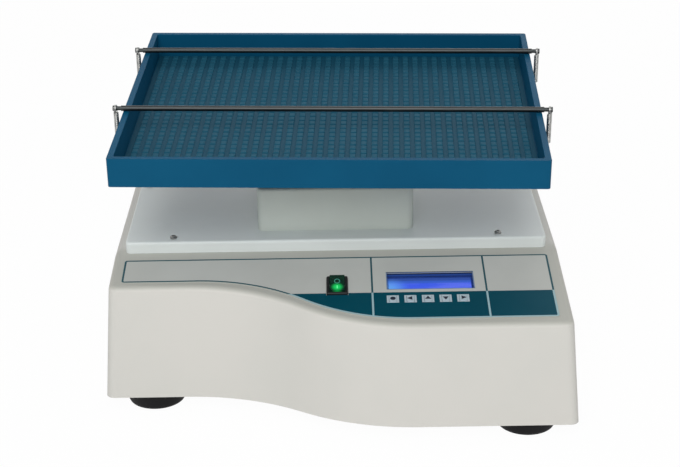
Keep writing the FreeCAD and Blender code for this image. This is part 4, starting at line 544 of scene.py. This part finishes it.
def film_outline():
    """The film's outline, clockwise as seen from above: its lower side steps down along two arcs."""
    left, right = FILM_CORNER - FILM_HALF, FILM_HALF - FILM_CORNER
    low_right = FILM_RIGHT_BOTTOM - FILM_CORNER
    low_left = FILM_LEFT_BOTTOM - FILM_CORNER
    swing = math.degrees(step_angle)
    points = arc_points((left, FILM_TOP + FILM_CORNER), FILM_CORNER, 180, 270, CORNER_STEPS)
    points += arc_points((right, FILM_TOP + FILM_CORNER), FILM_CORNER, 270, 360, CORNER_STEPS)
    points += arc_points((right, low_right), FILM_CORNER, 0, 90, CORNER_STEPS)
    bulge = (FILM_STEP_X + step_run, FILM_RIGHT_BOTTOM - FILM_STEP_RADIUS)
    points += arc_points(bulge, FILM_STEP_RADIUS, 90, 90 + swing, SWING_STEPS)
    hollow = (FILM_STEP_X - step_run, FILM_LEFT_BOTTOM + FILM_STEP_RADIUS)
    points += arc_points(hollow, FILM_STEP_RADIUS, 270 + swing, 270, SWING_STEPS)[1:]
    return points + arc_points((left, low_left), FILM_CORNER, 90, 180, CORNER_STEPS)


def film_hole(middle, half_x, half_down):
    """A rectangular hole round a middle on the panel."""
    signs = ((-1, -1), (-1, 1), (1, 1), (1, -1))
    return [(middle[0] + a * half_x, middle[1] + b * half_down) for a, b in signs]


def film_piece(material):
    """The film, cut round the display, the switch and the keys, and laid on the panel."""
    rings = [film_outline()]
    rings.append(film_hole((DISPLAY_X, DISPLAY_DOWN), WINDOW_WIDTH / 2, WINDOW_HEIGHT / 2))
    rings.append(film_hole((SWITCH_X, SWITCH_DOWN), SWITCH_HALF_X + HOLE_GAP, SWITCH_HALF_DOWN + HOLE_GAP))
    for name in KEYS:
        low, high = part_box(name)
        half_x = (high.x - low.x) / (2 * MM)
        rings.append(film_hole(key_place(name), half_x - KEY_FLANGE + HOLE_GAP, KEY_HALF_DOWN + HOLE_GAP))
    origin = Vector((0, CREASE_Y, DECK_HEIGHT))
    flat = [[Vector((x, -down, 0)) for x, down in ring] for ring in rings]
    spots = [point for ring in flat for point in ring]
    count = len(spots)
    points = []
    for lift in (FILM_GAP, FILM_THICKNESS):
        points += [(origin + panel_turn @ (spot + Vector((0, 0, lift)))) * MM for spot in spots]
    faces = []
    for a, b, c in tessellate_polygon(flat):
        if (spots[b] - spots[a]).cross(spots[c] - spots[a]).z < 0:
            a, c = c, a
        faces.append((a + count, b + count, c + count))
        faces.append((c, b, a))
    start = 0
    for ring in rings:
        for index in range(len(ring)):
            a, b = start + index, start + (index + 1) % len(ring)
            faces.append((b, a, a + count, b + count))
        start += len(ring)
    return solid("printed_film", points, faces, material)


def film_edge(x, down):
    """Distance in from the film's outline."""
    across = (x - (FILM_STEP_X - step_run)).high(0.0)
    depth = down - (FILM_LEFT_BOTTOM + FILM_STEP_RADIUS)
    hollow = (across * across + depth * depth).root() - FILM_STEP_RADIUS
    across = (x - (FILM_STEP_X + step_run)).low(0.0)
    depth = down - (FILM_RIGHT_BOTTOM - FILM_STEP_RADIUS)
    bulge = FILM_STEP_RADIUS - (across * across + depth * depth).root()
    on_right = x.above(FILM_STEP_X)
    bottom = hollow * (1 - on_right) + bulge * on_right
    side = FILM_HALF - abs(x)
    height = bottom.low(down - FILM_TOP)
    corner_x = (FILM_CORNER - side).high(0.0)
    corner_y = (FILM_CORNER - height).high(0.0)
    rounded = FILM_CORNER - (corner_x * corner_x + corner_y * corner_y).root()
    return rounded.low(side).low(height)


def film_print():
    made = Finish("film_print")
    x, down, _ = on_panel(made.place())
    edge = film_edge(x, down)
    line = abs(edge - LINE_INSET).below(LINE_WIDTH / 2)
    for place in DIVIDERS:
        line = line.high(abs(x - place).below(LINE_WIDTH / 2) * edge.above(LINE_INSET))
    teal = down.above(BAND_TOP)
    flakes = made.noise(0.25, 1.0)
    cloud = made.noise(55.0)
    silver = made.mix(cloud.fade(0.3, 0.7), tint(190, 192, 187), tint(196, 198, 193))
    deep = made.mix(cloud.fade(0.35, 0.65), tint(2, 68, 84), tint(3, 72, 88))
    field = made.mix(teal, silver, deep)
    for name in KEYS:
        key_x, key_down = key_place(name)
        pale = abs(x - key_x).below(KEY_FIELD_X) * abs(down - key_down).below(KEY_FIELD_DOWN)
        field = made.mix(pale, field, tint(186, 202, 210))
    # The printed frame round the display is dark above as painted shade and pale blue below as painted
    # light.
    frame = made.mix(down.above(DISPLAY_DOWN - WINDOW_HEIGHT / 2), tint(30, 50, 60), tint(112, 134, 166))
    field = made.mix(in_window(x, down, FRAME_WIDTH), field, frame)
    stroke = made.mix(teal, tint(46, 86, 95), tint(160, 190, 196))
    margin = made.mix(edge.below(LINE_INSET), field, tint(178, 182, 176))
    return made.finish(
        Base_Color=made.mix(line, margin, stroke),
        Roughness=0.5 + (flakes - 0.5) * 0.2,
        Specular=0.08,
        Normal=made.bump(flakes, 0.01),
    )


printed_film = film_piece(film_print())
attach(printed_film, "chassis")
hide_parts("panel_overlay")


# Display
# A blue liquid-crystal cell in a black frame behind a clear acrylic window, with its board
# behind. Its lamp sits at the left end. The frame's edge in the window is painted blue as painted
# light of the display, and the cell is painted darker towards its top as painted shade of the
# window's upper edge.

def lit_cell():
    made = Finish("lit_cell")
    x, down, _ = on_panel(made.place())
    along = (x - (DISPLAY_X - WINDOW_WIDTH / 2)) / WINDOW_WIDTH
    fall = (down - (DISPLAY_DOWN - WINDOW_HEIGHT / 2)) / WINDOW_HEIGHT
    cloud = made.noise((26.0, 6.0, 6.0))
    blue = made.mix(cloud.fade(0.35, 0.65), tint(66, 98, 246), tint(98, 120, 255))
    # The cell's light is painted darker towards its top, as painted shade of the window's upper edge.
    blue = made.mix(fall.fade(0.42, 0.3), blue, tint(58, 98, 210))
    blue = made.mix(fall.fade(0.26, 0.16), blue, tint(50, 80, 160))
    lamp_x = along - 0.02
    lamp_y = (fall - 0.65) * 0.4
    halo = (lamp_x * lamp_x + lamp_y * lamp_y).root().fade(0.27, 0.0)
    lit = made.mix(halo, blue, tint(104, 172, 255))
    return made.finish(Base_Color=tint(14, 22, 40), Emission_Color=lit, Emission_Strength=1.0, Roughness=0.3)


def module_case():
    made = Finish("module_case")
    x, down, _ = on_panel(made.place())
    grain = made.noise(0.4)
    # Inside the window the case is painted blue, as painted light of the display on its edge.
    return made.finish(
        Base_Color=made.mix(in_window(x, down, WINDOW_RIM), tint(24, 25, 26), tint(46, 76, 150)),
        Roughness=0.45 + grain * 0.1,
        Specular=0.4,
    )


def clear_acrylic():
    made = Finish("clear_acrylic")
    haze = made.noise(8.0)
    return made.finish(
        Base_Color=tint(40, 60, 110), Roughness=0.06 + haze * 0.06, Specular=0.25, Alpha=0.1)


moulded_black = grained("moulded_black", tint(26, 27, 28), tint(20, 21, 22), 0.48, 0.4, 0.02, 12.0, 0.0, 0.4)
dress(module_case(), "display_module")
dress(lit_cell(), "display_glass")
dress(clear_acrylic(), "display_window")


# Keys
# Five pale moulded caps stand a little out of the overlay. Each has one dark printed sign: a dot
# on the first and an arrow on the others.

SIGN_RADIUS = 2.45
DOT_SHARE = 0.8
SIGN_THICKNESS = 0.04
DOT_SIDES = 24
key_cap = grained("key_cap", tint(190, 206, 214), tint(182, 199, 208), 0.45, 0.4, 0.01, 5.0)
sign_ink = grained("sign_ink", tint(24, 34, 52), tint(18, 26, 42), 0.5, 0.3, 0.005, 2.0)
panel_out = panel_turn @ Vector((0, 0, 1))


def key_sign(name, heading):
    """A flat printed sign on a key's top: a disc, or a triangle that points along a heading."""
    low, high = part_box(name)
    middle = (low + high) / 2
    top = max(vertex.co.dot(panel_out) for vertex in nodes[name].data.vertices)
    middle += panel_out * (top - middle.dot(panel_out))
    count = DOT_SIDES if heading is None else 3
    start = math.radians(heading or 0)
    reach = SIGN_RADIUS * MM * (DOT_SHARE if heading is None else 1.0)
    points = []
    for lift in (0.0, SIGN_THICKNESS * MM):
        for index in range(count):
            angle = start + 2 * math.pi * index / count
            flat = Vector((math.cos(angle), math.sin(angle), 0)) * reach
            points.append(middle + panel_turn @ flat + panel_out * lift)
    ring = range(count)
    faces = [tuple(reversed(ring)), tuple(index + count for index in ring)]
    faces += [(i, (i + 1) % count, (i + 1) % count + count, i + count) for i in ring]
    sign = solid(name + "_sign", points, faces, sign_ink)
    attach(sign, name)


for key_name, key_heading in KEYS.items():
    dress(key_cap, key_name)
    key_sign(key_name, key_heading)


# Power switch
# A black moulded rocker switch, snapped into the panel. Its rocker is dark green, with a lamp
# behind the pressed end and a ring printed on the other.

LAMP_DOWN = 4.4
RING_UP = 1.8
RING_RADIUS = 1.8
SIGN_HALF = 0.32
BAR_HALF = 1.7


def lit_rocker():
    made = Finish("lit_rocker")
    x, down, out = on_panel(made.place())
    across = x - SWITCH_X
    near = down - SWITCH_DOWN - LAMP_DOWN
    up = down - SWITCH_DOWN + RING_UP
    top = out.above(0.5)
    halo = (across * across + near * near * 0.8).root().fade(5.2, 0.4)
    ring = abs((across * across + up * up).root() - RING_RADIUS).below(SIGN_HALF) * top
    bar = abs(across).below(SIGN_HALF) * abs(near).below(BAR_HALF) * top
    light = made.mix(halo, tint(2, 24, 15), tint(26, 214, 100))
    light = made.mix(bar, light, tint(120, 255, 170))
    return made.finish(
        Base_Color=made.mix(ring, tint(8, 34, 24), tint(60, 108, 96)),
        Emission_Color=made.mix(ring, light, tint(26, 92, 76)),
        Emission_Strength=1.0,
        Roughness=0.22 + made.noise(3.0) * 0.08,
        Coat_Weight=0.2,
    )


dress(moulded_black, "power_switch_body")
dress(lit_rocker(), "power_rocker")


# Mains inlet and fuse
# A black moulded inlet is screwed into the back wall. The drawer below its socket holds a glass
# fuse with plated caps.

FUSE_CAP = 5.0


def fuse_tube():
    made = Finish("fuse_tube")
    low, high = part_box("fuse")
    middle = (low.x + high.x) / 2 / MM
    half = (high.x - low.x) / 2 / MM
    capped = abs(made.place()[0] - middle).above(half - FUSE_CAP)
    return made.finish(
        Base_Color=made.mix(capped, tint(214, 226, 222), tint(182, 180, 172)),
        Metallic=capped,
        Roughness=0.12 + made.noise(2.0) * 0.12,
        Alpha=0.35 + capped * 0.65,
    )


dress(moulded_black, "power_inlet", "fuse_drawer")
dress(screw_steel, "power_inlet_screws")
dress(fuse_tube(), "fuse")


# Guide post
# A nylon post stands behind the turret. A steel pin on the tray's guide arm runs in its slot and
# keeps the tray from turning with the shaft.

dress(nylon, "guide_post")
dress(ground_steel, "guide_pin")


# Tray
# A folded and welded steel tray, painted in a dark satin blue. Under it are an aluminium hub on
# two bearings, a plated spider, the guide arm and four spring brackets.

def satin_blue():
    made = Finish("satin_blue")
    cloud = made.noise(80.0)
    peel = made.noise(1.6, 2.0)
    speck = made.noise(0.4, 2.0)
    return made.finish(
        Base_Color=made.mix(cloud.fade(0.3, 0.7), tint(8, 75, 107), tint(11, 82, 115)),
        Roughness=0.5 + (speck - 0.5) * 0.2,
        Specular=0.06,
        Normal=made.bump(peel, 0.03),
    )


dress(satin_blue(), "tray_pan")
dress(turned_aluminium, "tray_hub")
dress(ground_steel, "hub_bearings")
dress(plated_sheet, "tray_spider", "guide_arm", "spring_brackets")
dress(screw_steel, "tray_screws")


# Mat
# A loose rubber mat fills the tray's floor. Rows of small tapered studs, a little longer than
# wide, cover it, so that dishes don't slide.

PIVOT = Vector((0, 0, 168.0)) * MM
TRAY_TILT = math.radians(4.0)
TILT_HEADING = math.radians(4.0)
TRAY_YAW = math.radians(-2.1)
tray_turn = Matrix.Rotation(TILT_HEADING, 4, "Z") @ Matrix.Rotation(TRAY_TILT, 4, "X")
tray_turn = tray_turn @ Matrix.Rotation(TRAY_YAW - TILT_HEADING, 4, "Z")
TRAY = Matrix.Translation(PIVOT) @ tray_turn

MAT_HALF_X = 144.5
MAT_HALF_Y = 115.5
MAT_LOW = 17.0
MAT_HIGH = 19.0
STUD_RISE = 0.8
STUD_PITCH_X = 7.7
STUD_PITCH_Y = 7.2
STUD_WIDTH = 4.9
STUD_LENGTH = 6.4
STUD_TAPER = 0.72


def grow(name, sizes, material, build, source=None):
    """Run a geometry tree with named sizes once, and keep its mesh as a piece."""
    tree = bpy.data.node_groups.new(name, "GeometryNodeTree")
    graph = Graph(tree)
    tree.interface.new_socket("Mesh", in_out="OUTPUT", socket_type="NodeSocketGeometry")
    tree.interface.new_socket("Source", in_out="INPUT", socket_type="NodeSocketGeometry")
    keys = {}
    for label, value in sizes.items():
        kind = "NodeSocketInt" if isinstance(value, int) else "NodeSocketFloat"
        keys[label] = tree.interface.new_socket(label, in_out="INPUT", socket_type=kind).identifier
    entry = tree.nodes.new("NodeGroupInput")
    given = {label: Socket(graph, entry.outputs[label]) for label in ["Source", *sizes]}
    shape = graph.node("GeometryNodeRealizeInstances", inputs={0: build(graph, given)})
    painted = graph.node("GeometryNodeSetMaterial", inputs={"Geometry": shape, "Material": material})
    graph.node("NodeGroupOutput", inputs={0: painted})
    piece = bpy.data.objects.new(name, source or bpy.data.meshes.new(name))
    scene.collection.objects.link(piece)
    modifier = piece.modifiers.new(name, "NODES")
    modifier.node_group = tree
    for label, value in sizes.items():
        modifier[keys[label]] = value
    ready = piece.evaluated_get(bpy.context.evaluated_depsgraph_get())
    mesh = bpy.data.meshes.new_from_object(ready)
    piece.modifiers.clear()
    piece.data = mesh
    return piece


def moved(graph, shape, turn=(0.0, 0.0, 0.0), **place):
    """A shape turned, and moved to named parts of a place."""
    parts = {key.upper(): value for key, value in place.items()}
    spot = graph.node("ShaderNodeCombineXYZ", inputs=parts)
    return graph.node("GeometryNodeTransform", inputs={
        "Geometry": shape, "Translation": spot, "Rotation": turn})


def studs(graph, given):
    """A field of tapered studs on a base sheet, about the tray's own origin."""
    base_top = given["Top"] - given["Rise"]
    grid = graph.node("GeometryNodeMeshGrid", inputs={
        "Size X": given["Pitch X"] * (given["Columns"] - 1),
        "Size Y": given["Pitch Y"] * (given["Rows"] - 1),
        "Vertices X": given["Columns"], "Vertices Y": given["Rows"]})
    stud = graph.node("GeometryNodeMeshCone", {"fill_type": "NGON"}, {
        "Vertices": 4, "Radius Top": math.sqrt(0.5) * STUD_TAPER, "Radius Bottom": math.sqrt(0.5),
        "Depth": 1.0})
    stud = moved(graph, stud, (0.0, 0.0, math.radians(45)))
    form = graph.node("ShaderNodeCombineXYZ", inputs={
        "X": given["Stud Width"], "Y": given["Stud Length"], "Z": given["Rise"]})
    stud = graph.node("GeometryNodeTransform", inputs={"Geometry": stud, "Scale": form})
    field = graph.node("GeometryNodeInstanceOnPoints", inputs={"Points": grid, "Instance": stud})
    size = graph.node("ShaderNodeCombineXYZ", inputs={
        "X": given["Width"], "Y": given["Depth"], "Z": base_top - given["Bottom"]})
    slab = graph.node("GeometryNodeMeshCube", inputs={"Size": size})
    parts = [moved(graph, field, z=base_top), moved(graph, slab, z=(base_top + given["Bottom"]) * 0.5)]
    return graph.node("GeometryNodeJoinGeometry", inputs={0: parts})


def studded_rubber():
    made = Finish("studded_rubber")
    spread = {"Vector": made.point, "Location": tuple(PIVOT), "Rotation": tuple(tray_turn.to_euler())}
    local = made.node("ShaderNodeMapping", {"vector_type": "TEXTURE"}, spread)
    height = made.place(local)[2]
    cloud = made.noise(26.0)
    speck = made.noise(0.6, 2.0)
    # The gaps between the studs are painted darker than the stud tops, as painted shade.
    rise = height.fade(MAT_HIGH - STUD_RISE, MAT_HIGH - 0.1)
    top = made.mix(cloud.fade(0.3, 0.7), tint(24, 82, 104), tint(31, 88, 110))
    return made.finish(
        Base_Color=made.mix(rise, tint(20, 71, 92), top),
        Roughness=0.62 + (speck - 0.5) * 0.2,
        Specular=0.1,
        Normal=made.bump(speck, 0.03),
    )


studded_mat = grow("studded_mat", {
    "Width": 2 * MAT_HALF_X * MM, "Depth": 2 * MAT_HALF_Y * MM,
    "Bottom": MAT_LOW * MM, "Top": MAT_HIGH * MM,
    "Rise": STUD_RISE * MM, "Pitch X": STUD_PITCH_X * MM, "Pitch Y": STUD_PITCH_Y * MM,
    "Stud Width": STUD_WIDTH * MM, "Stud Length": STUD_LENGTH * MM,
    "Columns": int(2 * MAT_HALF_X / STUD_PITCH_X), "Rows": int(2 * MAT_HALF_Y / STUD_PITCH_Y),
}, studded_rubber(), studs)
studded_mat.data.transform(TRAY)
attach(studded_mat, "tray")
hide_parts("tray_mat")


# Hold-down bars
# Two drawn stainless bars lie across the tray's rim, and clamp flasks and dishes. Each end is
# turned down to a neck with a small knob, for its spring.

BARS = {"front": -39.0, "rear": 76.0}
bar_steel = drawn("bar_steel", tint(66, 69, 69), tint(56, 59, 60), 0.42, (30.0, 0.6, 0.6), 0.004)
dress(bar_steel, "front_bar", "rear_bar")


# Springs
# One close-wound tension spring of bright wire pulls on each end of a bar. Its double upper loop
# rides the bar's neck, and its hook goes up through the eye of a bracket under the tray.

SPRING_X = 155.4
WIRE_RADIUS = 0.4
COIL_RADIUS = 1.5
COIL_PITCH = 0.86
COIL_HIGH = 35.5
LOOP_MIDDLE = 38.4
LOOP_RADIUS = 2.4
LOOP_TURNS = 2
LOOP_STEPS = 28
LOOP_START = math.radians(50)
HOOK_REACH = 8.4
HOOK_HEIGHT = 13.3
HOOK_TIP = 15.4
ELBOW_RADIUS = 0.8
ELBOW_STEPS = 6
TURN_STEPS = 14
BRIDGE_STEPS = 6


def bridge(start, leaving, end, arriving, steps):
    """Points of a smooth curve that leaves one place and arrives at another."""
    points = []
    for index in range(1, steps):
        t = index / steps
        points.append(start * (2 * t ** 3 - 3 * t ** 2 + 1) + leaving * (t ** 3 - 2 * t ** 2 + t)
                      + end * (3 * t ** 2 - 2 * t ** 3) + arriving * (t ** 3 - t ** 2))
    return points


def spring_line():
    """The wire's middle line: up the eye, along the hook, round the coil and through the loop."""
    elbow_x = ELBOW_RADIUS - HOOK_REACH
    points = [Vector((-HOOK_REACH, 0, HOOK_TIP))]
    for index in range(ELBOW_STEPS + 1):
        angle = math.pi * (1 + index / (2 * ELBOW_STEPS))
        points.append(Vector((elbow_x + ELBOW_RADIUS * math.cos(angle), 0,
                              HOOK_HEIGHT + ELBOW_RADIUS + ELBOW_RADIUS * math.sin(angle))))
    first = math.pi + math.acos(COIL_RADIUS / -elbow_x)
    turns = round((COIL_HIGH - HOOK_HEIGHT) / COIL_PITCH) - first / (2 * math.pi)
    steps = round(turns * TURN_STEPS)
    for index in range(steps + 1):
        angle = first + (2 * math.pi * turns) * index / steps
        height = HOOK_HEIGHT + (COIL_HIGH - HOOK_HEIGHT) * index / steps
        points.append(Vector((COIL_RADIUS * math.cos(angle), COIL_RADIUS * math.sin(angle), height)))
    loop = []
    for index in range(LOOP_TURNS * LOOP_STEPS + 1):
        turned = index / LOOP_STEPS
        angle = LOOP_START + 2 * math.pi * turned
        across = COIL_PITCH * (LOOP_TURNS / 2 - turned)
        height = LOOP_MIDDLE - LOOP_RADIUS * math.cos(angle)
        loop.append(Vector((across, LOOP_RADIUS * math.sin(angle), height)))
    leaving = Vector((0, LOOP_RADIUS, 0.2))
    arriving = Vector((0, math.cos(LOOP_START), math.sin(LOOP_START))) * LOOP_RADIUS
    return points + bridge(points[-1], leaving, loop[0], arriving, BRIDGE_STEPS) + loop


def spring_pair(graph, given):
    """Two upright springs of round wire, one at each end of a bar."""
    path = graph.node("GeometryNodeMeshToCurve", inputs={0: given["Source"]})
    profile = graph.node("GeometryNodeCurvePrimitiveCircle", {"mode": "RADIUS"},
                         {"Resolution": 8, "Radius": given["Wire"]})
    spring = graph.node("GeometryNodeCurveToMesh", inputs={
        "Curve": path, "Profile Curve": profile, "Fill Caps": True})
    left = graph.node("ShaderNodeCombineXYZ", inputs={"X": given["Reach"] * -1.0})
    step = graph.node("ShaderNodeCombineXYZ", inputs={"X": given["Reach"] * 2.0})
    ends = graph.node("GeometryNodeMeshLine", {"mode": "OFFSET"}, {
        "Count": 2, "Start Location": left, "Offset": step})
    place = graph.node("GeometryNodeInputPosition")
    right = graph.node("ShaderNodeSeparateXYZ", inputs={0: place}).above(0.0)
    turned = graph.node("ShaderNodeCombineXYZ", inputs={"Z": (1.0 - right) * math.pi})
    return graph.node("GeometryNodeInstanceOnPoints", inputs={
        "Points": ends, "Instance": spring, "Rotation": turned})


spring_wire = grained("spring_wire", tint(186, 186, 183), tint(160, 161, 160), 0.26, 0.3, 0.004, 3.0, 1.0)
for bar_name, bar_y in BARS.items():
    line_points = [point * MM for point in spring_line()]
    line_mesh = bpy.data.meshes.new(bar_name + "_spring_line")
    line_mesh.from_pydata(line_points, [(i, i + 1) for i in range(len(line_points) - 1)], [])
    pair = grow(bar_name + "_spring_pair", {"Wire": WIRE_RADIUS * MM, "Reach": SPRING_X * MM},
                spring_wire, spring_pair, line_mesh)
    pair.data.transform(TRAY @ Matrix.Translation(Vector((0, bar_y, 0)) * MM))
    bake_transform(pair)
    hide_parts(bar_name + "_springs")
